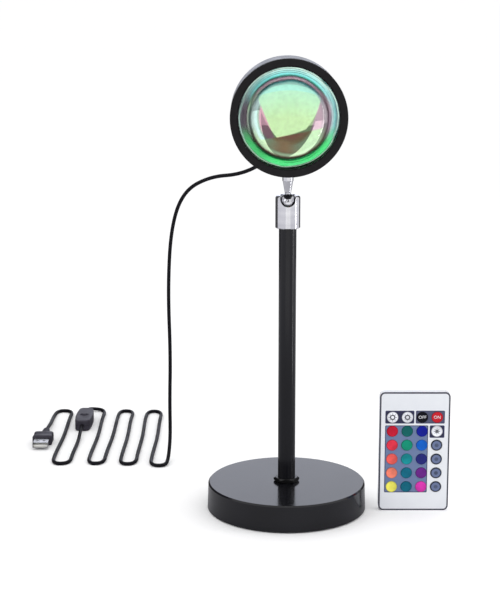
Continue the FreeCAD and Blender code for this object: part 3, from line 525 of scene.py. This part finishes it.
def foamPad():
    look = {"colour": (24, 24, 25), "second": (38, 38, 40), "patch": 1.2, "rough": (0.85, 0.98),
            "grain": 0.35, "depth": 0.12}
    return finish("foamPad", look)[0]


def zincHardware():
    look = {"colour": (190, 188, 178), "second": (160, 162, 168), "patch": 2,
            "rough": (0.25, 0.42), "grain": 0.2, "depth": 0.006, "sockets": {"Metallic": 1.0}}
    return finish("zincHardware", look)[0]


def blackHardware():
    look = {"colour": (16, 16, 18), "second": (26, 26, 28), "patch": 2, "rough": (0.22, 0.36),
            "grain": 0.3, "depth": 0.008, "sockets": {"Metallic": 0.5}}
    return finish("blackHardware", look)[0]


def springSteel():
    look = {"colour": (170, 172, 178), "second": (120, 118, 124), "patch": 1.5,
            "rough": (0.2, 0.34), "stretch": (1, 1, 4), "grain": 0.15, "depth": 0.004,
            "sockets": {"Metallic": 1.0}}
    return finish("springSteel", look)[0]


def nylon():
    look = {"colour": (225, 222, 210), "second": (212, 208, 196), "patch": 4,
            "rough": (0.4, 0.55), "grain": 0.4, "depth": 0.01,
            "sockets": {"Subsurface Weight": 0.2, "Subsurface Scale": 0.002}}
    return finish("nylon", look)[0]


def blackPlastic():
    look = {"colour": (20, 20, 22), "second": (28, 28, 30), "patch": 5, "rough": (0.5, 0.65),
            "grain": 0.3, "depth": 0.015}
    return finish("blackPlastic", look)[0]


def boardAluminium():
    look = {"colour": (216, 218, 220), "second": (196, 198, 202), "patch": 9,
            "rough": (0.3, 0.45), "grain": 0.25, "depth": 0.005, "sockets": {"Metallic": 0.4}}
    return finish("boardAluminium", look)[0]


def boardGreen():
    look = {"colour": (24, 86, 52), "second": (18, 64, 40), "patch": 1.6, "rough": (0.25, 0.4),
            "grain": 0.4, "depth": 0.02, "sockets": {"Coat Weight": 0.4}}
    return finish("boardGreen", look)[0]


def blackRubber():
    look = {"colour": (19, 18, 22), "second": (27, 26, 31), "patch": 4, "rough": (0.5, 0.68),
            "grain": 0.3, "depth": 0.012}
    return finish("blackRubber", look)[0]


# the switch and the plug's grip are moulded in the same plastic
mouldedLook = {
    "colour": (47, 44, 55), "second": (54, 51, 62), "patch": 3, "rough": (0.42, 0.55),
    "smudge": 8, "grain": 0.28, "depth": 0.02, "seam": (14, 13, 18), "seamEdges": (0.098, 0.196),
    "sockets": {"Specular IOR Level": 0.3},
}


def gripPlastic(look):
    return finish("gripPlastic", look)[0]


def switchPlastic(look):
    material, tree, shader, spot = finish("switchPlastic", look)
    # a dark line where the two halves meet
    height = node(tree, "SeparateXYZ", Vector=spot).outputs[2]
    away = mathNode(tree, "SUBTRACT", height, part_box("switch_base")[1].z)
    away = mathNode(tree, "ABSOLUTE", away)
    core, edge = look["seamEdges"]
    line = spanned(tree, away, core * mm, edge * mm, 1, 0)
    tree.links.new(mixed(tree, line, baseColour(shader), tint(*look["seam"])),
                   shader.inputs["Base Color"])
    return material


def plugSteel():
    look = {"colour": (214, 214, 214), "second": (190, 190, 192), "patch": 4,
            "rough": (0.18, 0.32), "stretch": (1, 0.1, 1), "grain": 0.12, "depth": 0.002,
            "sockets": {"Metallic": 1.0}}
    return finish("plugSteel", look)[0]


def whitePlastic():
    look = {"colour": (236, 236, 232), "second": (226, 226, 222), "patch": 5,
            "rough": (0.35, 0.5), "grain": 0.3, "depth": 0.01}
    return finish("whitePlastic", look)[0]


finishes = {
    "paint": blackPaint(), "polePaint": polePaint(), "aluminium": blackAluminium(),
    "shell": satinShell(), "chrome": chrome(), "cast": castWeight(), "foam": foamPad(),
    "zinc": zincHardware(), "blackened": blackHardware(), "spring": springSteel(),
    "nylon": nylon(), "plastic": blackPlastic(), "boardMetal": boardAluminium(),
    "boardGreen": boardGreen(), "rubber": blackRubber(), "switch": switchPlastic(mouldedLook),
    "grip": gripPlastic(mouldedLook), "steel": plugSteel(), "white": whitePlastic(),
}
dress(finishes["paint"], "base_shell")
dress(finishes["polePaint"], "pole")
dress(finishes["cast"], "base_weight")
dress(finishes["foam"], "foot_pad")
dress(finishes["zinc"], "base_clamp_nut", "swivel_plug", "board_screws")
dress(finishes["chrome"], "swivel_sleeve", "ball_stem")
dress(finishes["spring"], "swivel_spring")
dress(finishes["nylon"], "ball_seat", "switch_core")
dress(finishes["aluminium"], "front_bezel")
dress(finishes["shell"], "head_shell", "rear_cover")
dress(finishes["plastic"], "light_baffle")
dress(finishes["boardMetal"], "led_board")
dress(finishes["boardGreen"], "control_board", "handset_board")
dress(finishes["switch"], "switch_base", "switch_cover", "switch_button")
dress(finishes["steel"], "plug_shell", "coin_battery")
dress(finishes["white"], "plug_tongue", "battery_tray")
print("finishes made:", len(finishes))


# lens and the coated filter behind it
lensLook = {
    "flangeRadius": 35.15, "edgeRound": 0.3, "domeRadius": 28.0, "domeRise": 13.0,
    "airGap": 0.06, "bend": 1.30, "segments": 192, "domeSteps": 56, "creaseAngle": 20,
    # moulding steps on the flange and the small round where the dome leaves it
    "steps": [(33.1, 0.12), (31.9, 0.10), (30.7, 0.08), (29.6, 0.10)], "stepWidth": 0.30,
    "foot": [(28.7, 0), (28.3, 0.05), (27.9, 0.22), (27.55, 0.50)], "footTurn": 1.9,
}
headMiddle = middleOf("front_bezel")
headAxis = facing(0, 0, headMiddle.z)


def lensGlass(look):
    return finish("lensGlass", {
        "colour": (250, 255, 252), "rough": (0.0, 0.02), "grain": 14, "depth": 0.002,
        "sockets": {"Transmission Weight": 1.0, "IOR": look["bend"]}})[0]


def makeLens(look, material):
    low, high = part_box("lens")
    back = -high.y / mm + look["airGap"]
    apex = -low.y / mm
    seat = apex - look["domeRise"]
    edge, edgeRound = look["flangeRadius"], look["edgeRound"]
    ball = (look["domeRadius"] ** 2 + look["domeRise"] ** 2) / (2 * look["domeRise"])
    profile = [(0, back), (edge - edgeRound, back), (edge, back + edgeRound), (edge, seat)]
    for radius, depth in look["steps"]:
        half = look["stepWidth"] / 2
        profile += [(radius + half, seat), (radius, seat - depth), (radius - half, seat)]
    profile += [(radius, seat + lift) for radius, lift in look["foot"]]
    footAngle = math.degrees(math.asin((seat - apex + ball) / ball)) + look["footTurn"]
    profile += arc((0, apex - ball), ball, footAngle, 90, look["domeSteps"])
    profile[-1] = (0, apex)
    bm = bmesh.new()
    turn(bm, profile, headAxis, look["segments"])
    return addPiece("lensGlass", bm, "head", material, ("lens",),
                    look["creaseAngle"])


filterLook = {
    "rough": (0.018, 0.048), "roughPatch": 2.4, "mottlePatch": 2.6, "mottle": (0.92, 1.0),
    # painted glow in the rim, standing in for light scattered there: where it starts, is full, fades
    # and ends, and how strong it is
    "paintedRimGlow": (22.0, 24.0, 27.6, 28.2, 0.34),
    # the middle zone is a painted reflection, bounded by slanted lines: direction, where it starts
    # and ends in mm
    "middle": (212, 240, 184), "middleTop": (200, 246, 214), "top": (188, 248, 232),
    "topLine": (16.3, 16.9, 118),
    "leftEdge": ((-0.914, 0, -0.405), 12.1, 13.3), "rightEdge": ((0.934, 0, -0.353), 14.2, 15.4),
    "lowEdge": ((0.19, 0, -1), 9.8, 11.0),
    # a warm patch low in the middle
    "bottomTint": (250, 206, 158), "patchMiddle": 0.16, "patchWidth": (0.02, 0.62),
    "patchStart": (13, 15.5),
    # the rim: where it starts, how its directions run into each other, and how dark the painted shade
    # on its left is
    "rimStart": (21.5, 23), "sides": (-0.3, 0.3), "above": (0.2, 0.8), "below": (-0.12, -0.62),
    "leftShadeSpan": (-0.75, -0.2), "leftShade": 0.66,
    # the rings wander by this much over patches of this width, and the colours end at the reach
    "wander": 0.6, "wanderPatch": 16, "reach": 34,
    # ramps from the middle out in four directions: the coating's own tints, with painted reflections
    # near the rim
    "upward": [(0, (186, 246, 230)), (20.8, (196, 246, 236)), (22.2, (110, 180, 180)),
               (23.6, (56, 116, 120)), (24.8, (178, 134, 168)), (25.8, (150, 110, 148)),
               (26.8, (36, 92, 98)), (28.4, (130, 232, 234)), (31.6, (206, 248, 244)),
               (32.3, (228, 250, 240)), (33.2, (40, 110, 110))],
    "leftward": [(0, (240, 168, 190)), (18, (228, 172, 192)), (19.4, (176, 200, 184)),
                 (20.4, (220, 250, 248)), (23, (226, 246, 244)), (25.5, (90, 120, 108)),
                 (27, (176, 196, 180)), (28.4, (104, 84, 100)), (31.6, (96, 86, 102)),
                 (32.3, (206, 236, 228)), (33.2, (40, 60, 70))],
    "rightward": [(0, (252, 208, 228)), (20, (252, 212, 230)), (23, (216, 200, 210)),
                  (25.5, (120, 84, 106)), (27, (216, 176, 198)), (28.6, (190, 196, 208)),
                  (30.2, (150, 208, 210)), (31.6, (90, 140, 150)), (32.3, (216, 244, 238)),
                  (33.2, (30, 90, 100))],
    "downward": [(0, (214, 138, 112)), (12, (224, 160, 134)), (15.4, (206, 180, 132)),
                 (17.4, (222, 250, 206)), (23.5, (224, 252, 210)), (25.4, (110, 84, 72)),
                 (27, (30, 96, 58)), (29.4, (70, 226, 124)), (31.8, (90, 238, 146)),
                 (32.4, (214, 250, 226)), (33.2, (20, 90, 50))],
}


def slantedEdge(tree, flat, direction, start, end):
    away = vectorNumber(tree, "DOT_PRODUCT", flat, direction)
    return spanned(tree, away, start, end, 0, 1, "SMOOTHSTEP")


def middleColours(tree, flat, edges, zones, look):
    # a painted reflection in the middle: the top is bounded by a flat arc, the other sides by slanted
    # lines
    across = node(tree, "SeparateXYZ", Vector=flat)
    start, end, bow = look["topLine"]
    height = mathNode(tree, "MULTIPLY", across.outputs[0], across.outputs[0])
    height = mathNode(tree, "MULTIPLY_ADD", height, 1 / bow, across.outputs[2])
    disc = mixed(tree, spanned(tree, height, 0, start, 0, 1), tint(*look["middle"]),
                 tint(*look["middleTop"]))
    disc = mixed(tree, spanned(tree, height, start, end, 0, 1), disc, tint(*look["top"]))
    disc = mixed(tree, edges["leftEdge"], disc, zones["leftward"])
    disc = mixed(tree, edges["rightEdge"], disc, zones["rightward"])
    return mixed(tree, edges["lowEdge"], disc, zones["downward"])


def rimColours(tree, across, up, zones, look):
    # four directions that run into each other
    rightness = spanned(tree, across, *look["sides"], 0, 1, "SMOOTHSTEP")
    rim = mixed(tree, rightness, zones["leftward"], zones["rightward"])
    rim = mixed(tree, spanned(tree, up, *look["above"], 0, 1, "SMOOTHSTEP"), rim, zones["upward"])
    rim = mixed(tree, spanned(tree, up, *look["below"], 0, 1, "SMOOTHSTEP"), rim,
                zones["downward"])
    # painted shade: the rim is darker on the left
    return scaled(tree, rim, spanned(tree, across, *look["leftShadeSpan"], look["leftShade"], 1,
                                     "SMOOTHSTEP"))


def warmPatch(tree, across, radius, lowEdge, look):
    away = mathNode(tree, "ABSOLUTE", mathNode(tree, "ADD", across, look["patchMiddle"]))
    share = spanned(tree, away, *look["patchWidth"], 1, 0, "SMOOTHSTEP")
    share = mathNode(tree, "MULTIPLY", share, lowEdge)
    share = mathNode(tree, "MULTIPLY", share, spanned(tree, radius, *look["patchStart"], 0, 1))
    return mathNode(tree, "MULTIPLY", share, spanned(tree, radius, *look["rimStart"], 1, 0))


def coatedFilter(look):
    material = bpy.data.materials.new("coatedFilter")
    material.use_nodes = True
    tree = material.node_tree
    shader = tree.nodes["Principled BSDF"]
    shader.inputs["Metallic"].default_value = 1
    # places on the disc in millimetres from its middle
    spot = node(tree, "TexCoord").outputs["Object"]
    flat = vectorNode(tree, "SUBTRACT", spot, (0, 0, headMiddle.z))
    flat = vectorNode(tree, "MULTIPLY", flat, (1 / mm, 0, 1 / mm))
    edges = {name: slantedEdge(tree, flat, *look[name])
             for name in ("leftEdge", "rightEdge", "lowEdge")}
    radius = vectorNumber(tree, "LENGTH", flat)
    heading = node(tree, "SeparateXYZ", Vector=vectorNode(tree, "NORMALIZE", flat))
    across, up = heading.outputs[0], heading.outputs[2]
    wobble = spanned(tree, noise(tree, spot, look["wanderPatch"], 2), 0.3, 0.7,
                     -look["wander"], look["wander"])
    radius = mathNode(tree, "ADD", radius, wobble)
    share = spanned(tree, radius, 0, look["reach"], 0, 1)
    zones = {}
    for name in ("upward", "leftward", "rightward", "downward"):
        stops = [(place / look["reach"], tint(*colour)) for place, colour in look[name]]
        zones[name] = ramped(tree, share, stops)
    # the painted reflection in the middle, set in the coating's tints
    disc = middleColours(tree, flat, edges, zones, look)
    rim = rimColours(tree, across, up, zones, look)
    colour = mixed(tree, spanned(tree, radius, *look["rimStart"], 0, 1), disc, rim)
    patch = warmPatch(tree, across, radius, edges["lowEdge"], look)
    colour = mixed(tree, patch, colour, tint(*look["bottomTint"]))
    mottle = spanned(tree, noise(tree, spot, look["mottlePatch"], 3), 0.35, 0.65, *look["mottle"])
    colour = scaled(tree, colour, mottle)
    tree.links.new(colour, shader.inputs["Base Color"])
    # a painted glow: the filter emits its colour in the rim of the dome, where its curve is steepest,
    # standing in for light scattered there
    start, full, fade, end, level = look["paintedRimGlow"]
    paintedRimGlow = mathNode(tree, "MULTIPLY", spanned(tree, radius, start, full, 0, level),
                    spanned(tree, radius, fade, end, 1, 0))
    tree.links.new(colour, shader.inputs["Emission Color"])
    tree.links.new(paintedRimGlow, shader.inputs["Emission Strength"])
    fine = noise(tree, spot, look["roughPatch"], 4)
    tree.links.new(spanned(tree, fine, 0.3, 0.7, *look["rough"]), shader.inputs["Roughness"])
    return material


makeLens(lensLook, lensGlass(lensLook))
dress(coatedFilter(filterLook), "dichroic_filter")
print("lens and filter ready")


# strain relief behind the head
def makeGland(material):
    look = {"flange": 4.0, "flangeThick": 1.5, "backRound": 0.25, "frontRound": 0.35,
            "root": 3.0, "tip": 2.2, "tipRound": 0.3, "insideRadius": 3.1, "segments": 48,
            # along one rib's pitch: where the outline turns, and how deep it is there
            "ribs": 6, "ribOutline": [(0.05, 0), (0.5, 0), (0.56, 0.45), (0.92, 0.45), (0.98, 0)],
            "creaseAngle": 40}
    low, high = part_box("cable_gland")
    middle = (low + high) / 2
    place = Matrix.Translation((middle.x, 0, middle.z)) @ Matrix.Rotation(math.radians(-90), 4, "X")
    inside, outside = low.y / mm, high.y / mm
    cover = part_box("rear_cover")[1].y / mm
    start = cover + look["flangeThick"]
    edge, back, front = look["flange"], look["backRound"], look["frontRound"]
    profile = [(0, inside), (look["insideRadius"], inside), (look["insideRadius"], cover),
               (edge - back, cover), (edge, cover + back), (edge, start - front),
               (edge - front, start)]
    run = outside - start
    pitch = run / (look["ribs"] + 0.5)
    for rib in range(look["ribs"]):
        for along, drop in look["ribOutline"]:
            position = start + pitch * (rib + along)
            share = (position - start) / run
            profile.append((look["root"] + (look["tip"] - look["root"]) * share - drop, position))
    profile += [(look["tip"], outside - look["tipRound"]),
                (look["tip"] - look["tipRound"], outside), (0, outside)]
    bm = bmesh.new()
    turn(bm, profile, place, look["segments"])
    return addPiece("cableGland", bm, "head", material, ("cable_gland",),
                    look["creaseAngle"])


gland = makeGland(finishes["rubber"])
print("strain relief ready")


# nut at the pole's foot, screws of the rear cover and the plug's grip
def makeFootNut(material):
    look = {"bore": 6.1, "chamfer": 30, "chamferReach": 1.0, "chamferSteps": 5,
            "faceShare": 0.97, "steps": 144, "creaseAngle": 18}
    low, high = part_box("pole_foot_nut")
    half = (high.y - low.y) / 2 / mm
    tall = (high.z - low.z) / mm
    slope = 1 / math.tan(math.radians(look["chamfer"]))
    levels = [look["chamferReach"] * step / look["chamferSteps"]
              for step in range(look["chamferSteps"] + 1)]
    levels += [tall - level for level in reversed(levels)]
    bm = bmesh.new()
    rings = []
    # up the outside and down the bore
    for height, inside in [(level, False) for level in levels] + [(tall, True), (0, True)]:
        cone = half * look["faceShare"] + slope * min(height, tall - height)
        ring = []
        for step in range(look["steps"]):
            angle = 2 * math.pi * step / look["steps"]
            flat = half / math.cos(angle % (math.pi / 3) - math.pi / 6)
            reach = look["bore"] if inside else min(flat, cone)
            spot = (reach * math.cos(angle), reach * math.sin(angle), low.z / mm + height)
            ring.append(bm.verts.new(Vector(spot) * mm))
        rings.append(ring)
    joinRings(bm, rings, True)
    return addPiece("footNut", bm, "base", material, ("pole_foot_nut",),
                    look["creaseAngle"])


def makeRearScrews(material):
    look = {"count": 3, "circle": 33.75, "head": 2.55, "thick": 1.1, "edge": 0.1, "shank": 1.45,
            "length": 8.0, "crown": 0.35, "slotHalf": 0.34, "slotReach": 1.35, "slotDepth": 0.55,
            "rings": 14, "spokes": 72, "tip": 0.05, "creaseAngle": 30}
    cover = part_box("rear_cover")[1].y / mm
    head, crown = look["head"], look["crown"]
    bm = bmesh.new()
    for screw in range(look["count"]):
        angle = math.radians(360 * screw / look["count"] - 90)
        spot = Vector((look["circle"] * math.cos(angle), cover - look["thick"],
                       headMiddle.z / mm + look["circle"] * math.sin(angle))) * mm
        place = Matrix.Translation(spot) @ Matrix.Rotation(math.radians(-90), 4, "X")
        rings = [[bm.verts.new(place @ Vector((0, 0, -look["length"] * mm)))]]
        outline = [(look["shank"], -look["length"]), (look["shank"], 0), (head, 0),
                   (head, look["thick"] - crown - look["edge"])]
        # rings without a height of their own lie on the crown or in the cross recess
        outline += [(head * (1 - step / look["rings"]), None) for step in range(1, look["rings"])]
        outline += [(look["tip"], None)]
        for radius, height in outline:
            ring = []
            for step in range(look["spokes"]):
                spin = 2 * math.pi * step / look["spokes"]
                x, y = radius * math.cos(spin), radius * math.sin(spin)
                level = height
                if level is None:
                    level = look["thick"] - crown * (radius / head) ** 2
                    narrow, wide = sorted((abs(x), abs(y)))
                    if narrow < look["slotHalf"] and wide < look["slotReach"]:
                        level -= look["slotDepth"]
                ring.append(bm.verts.new(place @ (Vector((x, y, level)) * mm)))
            rings.append(ring)
        joinRings(bm, rings)
        bm.faces.new(rings[-1])
    return addPiece("rearScrews", bm, "head", material, ("rear_screws",),
                    look["creaseAngle"])


def makePlugBody(material):
    look = {
        # along the grip: position, how much narrower and thinner than the box, corner radius
        "grip": [(0, 0.9, 0.9, 0.9), (0.25, 0.35, 0.35, 1.3), (0.8, 0, 0, 1.6), (3.2, 0, 0, 1.7),
                 (4.0, 0.35, 0.18, 1.7), (8.8, 0.35, 0.18, 1.7), (9.6, 0, 0, 1.7),
                 (12.6, 0, 0, 1.8), (14.0, 0.3, 0.25, 1.9), (15.2, 1.2, 0.6, 2.0),
                 (16.0, 2.7, 1.1, 1.9), (16.4, 3.7, 1.45, 1.6)],
        "neckStart": 16.5, "neckWide": 3.5, "neckRound": 2.5, "neckCorner": 1.9, "ribs": 4,
        "groove": 0.6, "ribOutline": [(0, False), (0.55, False), (0.61, True), (0.94, True)],
        "endStraight": 0.8, "endRound": 0.2, "leastFlat": 0.1, "creaseAngle": 38,
    }
    low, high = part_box("plug_body")
    middle = (low + high) / 2
    halfWide, halfThick = (high.x - low.x) / 2 / mm, (high.z - low.z) / 2 / mm
    place = Matrix.Translation((middle.x, low.y, middle.z)) @ Matrix.Rotation(
        math.radians(-90), 4, "X")
    sections = []
    for position, narrower, thinner, corner in look["grip"]:
        outline = roundedSection(halfWide - narrower, halfThick - thinner, corner)
        sections.append((position, outline))
    start, end = look["neckStart"], (high.y - low.y) / mm
    neck, corner, endRound = look["neckRound"], look["neckCorner"], look["endRound"]
    pitch = (end - start - look["endStraight"]) / look["ribs"]
    for rib in range(look["ribs"]):
        for along, sunk in look["ribOutline"]:
            drop = look["groove"] if sunk else 0
            position = start + pitch * (rib + along)
            share = (position - start) / (end - start)
            half = look["neckWide"] - (look["neckWide"] - neck) * share - drop
            bend = min(corner, half - look["leastFlat"]) - drop
            outline = roundedSection(half, neck - drop, bend)
            sections.append((position, outline))
    sections += [(end - look["endStraight"], roundedSection(neck, neck, corner)),
                 (end - endRound, roundedSection(neck, neck, corner)),
                 (end, roundedSection(neck - endRound, neck - endRound,
                                      corner - look["leastFlat"]))]
    bm = bmesh.new()
    loft(bm, sections, place)
    return addPiece("plugBody", bm, "swivel", material, ("plug_body",),
                    look["creaseAngle"])


makeFootNut(finishes["blackened"])
makeRearScrews(finishes["blackened"])
plugBody = makePlugBody(finishes["grip"])
print("nut, screws and plug body ready")


# handset: printed face, keys with a shallow recess, and their marks
handsetLook = {
    # the line colour is painted shade along the face's edge, standing in for the case's shaded side
    "face": (222, 225, 230), "faceShade": (217, 220, 226), "line": (58, 58, 74),
    "navy": (30, 32, 70), "grey": (72, 76, 104), "slate": (98, 116, 156), "border": (40, 42, 84),
    "borderWidth": 0.55, "borderCorners": (0.8, 0.6), "edgeShadeWidth": 1.05, "corner": 3.5,
    # panels: left, right, top and bottom in key pitches from the first key, and the colour
    "panels": [(-0.49, 1.46, -0.47, 0.45, "navy"), (1.56, 3.51, -0.47, 0.45, "grey"),
               (-0.49, 2.41, 0.58, 5.42, "slate"), (2.51, 3.51, 0.58, 1.47, "navy")],
}
keyColours = {
    "white": (238, 240, 248), "black": (10, 10, 26), "red": (218, 26, 44),
    "crimson": (206, 14, 50), "scarlet": (230, 50, 74), "coral": (250, 98, 92),
    "orange": (255, 136, 112), "yellow": (255, 248, 104), "forest": (0, 104, 102),
    "green": (0, 140, 112), "teal": (6, 146, 154), "petrol": (0, 110, 138),
    "deepTeal": (0, 102, 126), "blue": (0, 18, 154), "azure": (0, 102, 216),
    "navy": (34, 38, 126), "purple": (106, 30, 136), "magenta": (220, 52, 176),
    "slate": (82, 92, 120),
}
keyRows = [
    ("white", "white", "black", "red"), ("crimson", "forest", "blue", "white"),
    ("scarlet", "green", "azure", "slate"), ("coral", "teal", "navy", "slate"),
    ("orange", "petrol", "purple", "slate"), ("yellow", "deepTeal", "magenta", "slate")]


def roundedMask(tree, spot, middle, half, corner, soft=0.00008):
    # 1 inside a rounded rectangle on the face, 0 outside
    away = vectorNode(tree, "ABSOLUTE", vectorNode(tree, "SUBTRACT", spot, middle))
    away = vectorNode(tree, "SUBTRACT", away, (half[0] - corner, 1, half[1] - corner))
    reach = vectorNumber(tree, "LENGTH", vectorNode(tree, "MAXIMUM", away, (0, 0, 0)))
    return spanned(tree, reach, corner - soft, corner + soft, 1, 0)


def printedFace(look):
    material, tree, shader, spot = finish("printedFace", {
        "colour": look["face"], "second": look["faceShade"], "patch": 20, "rough": (0.3, 0.42),
        "smudge": 12, "grain": 0.3, "depth": 0.006})
    colour = baseColour(shader)
    first = middleOf("handset_key_11")
    pitchX = middleOf("handset_key_12").x - first.x
    pitchZ = first.z - middleOf("handset_key_21").z
    border = look["borderWidth"] * mm
    outer, inner = (corner * mm for corner in look["borderCorners"])
    for left, right, top, bottom, name in look["panels"]:
        middle = (first.x + pitchX * (left + right) / 2, 0, first.z - pitchZ * (top + bottom) / 2)
        half = (pitchX * (right - left) / 2, pitchZ * (bottom - top) / 2)
        mask = roundedMask(tree, spot, middle, half, outer)
        colour = mixed(tree, mask, colour, tint(*look["border"]))
        mask = roundedMask(tree, spot, middle, (half[0] - border, half[1] - border), inner)
        colour = mixed(tree, mask, colour, tint(*look[name]))
    # painted shade: the line colour fills a band along the face's edge, standing in for the case's
    # shaded side
    low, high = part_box("handset_overlay")
    middle = (low + high) / 2
    half = ((high.x - low.x) / 2 - look["edgeShadeWidth"] * mm,
            (high.z - low.z) / 2 - look["edgeShadeWidth"] * mm)
    corner = (look["corner"] - look["edgeShadeWidth"]) * mm
    mask = roundedMask(tree, spot, (middle.x, 0, middle.z), half, corner)
    colour = mixed(tree, mask, tint(*look["line"]), colour)
    tree.links.new(colour, shader.inputs["Base Color"])
    return material


def handsetPlastic(look):
    return finish("handsetPlastic", {
        "colour": look["face"], "second": look["faceShade"], "patch": 12, "rough": (0.38, 0.5),
        "grain": 0.35, "depth": 0.015,
        "sockets": {"Subsurface Weight": 0.05, "Subsurface Scale": 0.001}})[0]


def keyFinish(name, colour, middle, ringed):
    # where the painted shade at the edge starts and ends in mm and how dark it is, and a paler dot
    look = {"edge": (3.3, 3.9, 0.72), "ringedEdge": (2.9, 3.2, 0.48), "dot": (1.2, 1.5, 1.22),
            "shade": 0.82}
    darker = tuple(level * look["shade"] for level in colour)
    material, tree, shader, spot = finish(name, {
        "colour": colour, "second": darker, "patch": 9, "rough": (0.42, 0.55), "grain": 0.3,
        "depth": 0.006, "sockets": {"Specular IOR Level": 0.15}})
    away = vectorNode(tree, "SUBTRACT", spot, middle)
    reach = vectorNumber(tree, "LENGTH", vectorNode(tree, "MULTIPLY", away, (1, 0, 1)))
    printed = baseColour(shader)
    if ringed:
        start, end, share = look["dot"]
        dot = spanned(tree, reach, start * mm, end * mm, 1, 0)
        printed = mixed(tree, dot, tint(*(level * share for level in colour)), printed)
    # painted shade: the key darkens towards its rim, from nearer the middle on the plain grey keys
    start, end, share = look["ringedEdge" if ringed else "edge"]
    rim = spanned(tree, reach, start * mm, end * mm, 0, 1)
    edge = tint(*(level * share for level in colour))
    tree.links.new(mixed(tree, rim, printed, edge), shader.inputs["Base Color"])
    return material


def makeKey(row, column, colourName):
    look = {"backRound": 0.1, "shoulder": 0.35, "shoulderSteps": 5, "dish": 0.08,
            "dishRadius": 3.3, "dishFloor": 3.05, "lipWidth": 0.08, "lipDrop": 0.02,
            "segments": 48, "creaseAngle": 40}
    nodeName = "handset_key_%d%d" % (row, column)
    low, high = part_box(nodeName)
    middle = (low + high) / 2
    radius = (high.x - low.x) / 2 / mm
    back, front = -high.y / mm, -low.y / mm
    shoulder, sunk = look["shoulder"], front - look["dish"]
    profile = [(0, back), (radius - look["backRound"], back), (radius, back + look["backRound"])]
    profile += arc((radius - shoulder, front - shoulder), shoulder, 0, 90, look["shoulderSteps"])
    profile += [(look["dishRadius"], front),
                (look["dishRadius"] - look["lipWidth"], front - look["lipDrop"]),
                (look["dishFloor"] + look["lipWidth"], sunk + look["lipDrop"]),
                (look["dishFloor"], sunk), (0, sunk)]
    bm = bmesh.new()
    turn(bm, profile, facing(middle.x, 0, middle.z), look["segments"])
    material = keyFinish("key%sPrint%d%d" % (colourName.title(), row, column),
                         keyColours[colourName], middle, colourName == "slate")
    return addPiece("key%d%d" % (row, column), bm, nodeName, material,
                    (nodeName,), look["creaseAngle"])


def inkFinish(name, colour):
    return finish(name, {"colour": colour, "second": tuple(level * 0.9 for level in colour),
                         "patch": 2, "rough": (0.4, 0.5), "grain": 0.2, "depth": 0.004})[0]


def makeWord(word, nodeName, material):
    look = {"size": 3.1, "thick": 0.02, "sunk": 0.05}
    low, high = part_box(nodeName)
    letters = bpy.data.curves.new("word" + word, "FONT")
    letters.body = word
    letters.size = look["size"] * mm
    letters.extrude = look["thick"] * mm
    letters.align_x = "CENTER"
    letters.align_y = "CENTER"
    mesh = meshOfCurve(letters)
    mesh.transform(facing((low.x + high.x) / 2, low.y + look["sunk"] * mm, (low.z + high.z) / 2))
    return addMesh("word" + word, mesh, nodeName, material)


def makeSun(name, nodeName, ringRadii, rayReach, material):
    look = {"rays": 8, "rayHalf": 0.26, "rayTipHalf": 0.13, "sunk": 0.08, "thick": 0.03,
            "segments": 32}
    low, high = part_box(nodeName)
    middle = (low + high) / 2
    place = facing(middle.x, low.y + look["sunk"] * mm, middle.z)
    bm = bmesh.new()
    thick, half, tipHalf = look["thick"], look["rayHalf"], look["rayTipHalf"]
    inner, outer = ringRadii
    turn(bm, [(inner, 0), (outer, 0), (outer, thick), (inner, thick)], place, look["segments"],
         True)
    start, end = rayReach
    outline = [(start, -half), (end, -tipHalf), (end, tipHalf), (start, half)]
    for ray in range(look["rays"]):
        spin = place @ Matrix.Rotation(2 * math.pi * ray / look["rays"], 4, "Z")
        loft(bm, [(0, outline), (thick, outline)], spin)
    return addPiece(name, bm, nodeName, material)


# the marks: their key, the ring's radii, and where the rays start and end in millimetres
keyMarks = {
    "brighterMark": ("handset_key_11", (1.1, 1.85), (2.1, 2.9)),
    "dimmerMark": ("handset_key_12", (1.1, 1.85), (2.1, 2.5)),
    "starMark": ("handset_key_24", (0.2, 1.0), (0.9, 2.2)),
}
dress(printedFace(handsetLook), "handset_overlay")
dress(handsetPlastic(handsetLook), "handset_case")
for rowNumber, rowColours in enumerate(keyRows, start=1):
    for columnNumber, colourName in enumerate(rowColours, start=1):
        makeKey(rowNumber, columnNumber, colourName)
paleInk = inkFinish("paleInk", (232, 232, 238))
darkInk = inkFinish("darkInk", (52, 52, 64))
makeWord("OFF", "handset_key_13", paleInk)
makeWord("ON", "handset_key_14", paleInk)
for markName, (keyName, markRing, markRays) in keyMarks.items():
    makeSun(markName, keyName, markRing, markRays, darkInk)
print("handset ready")
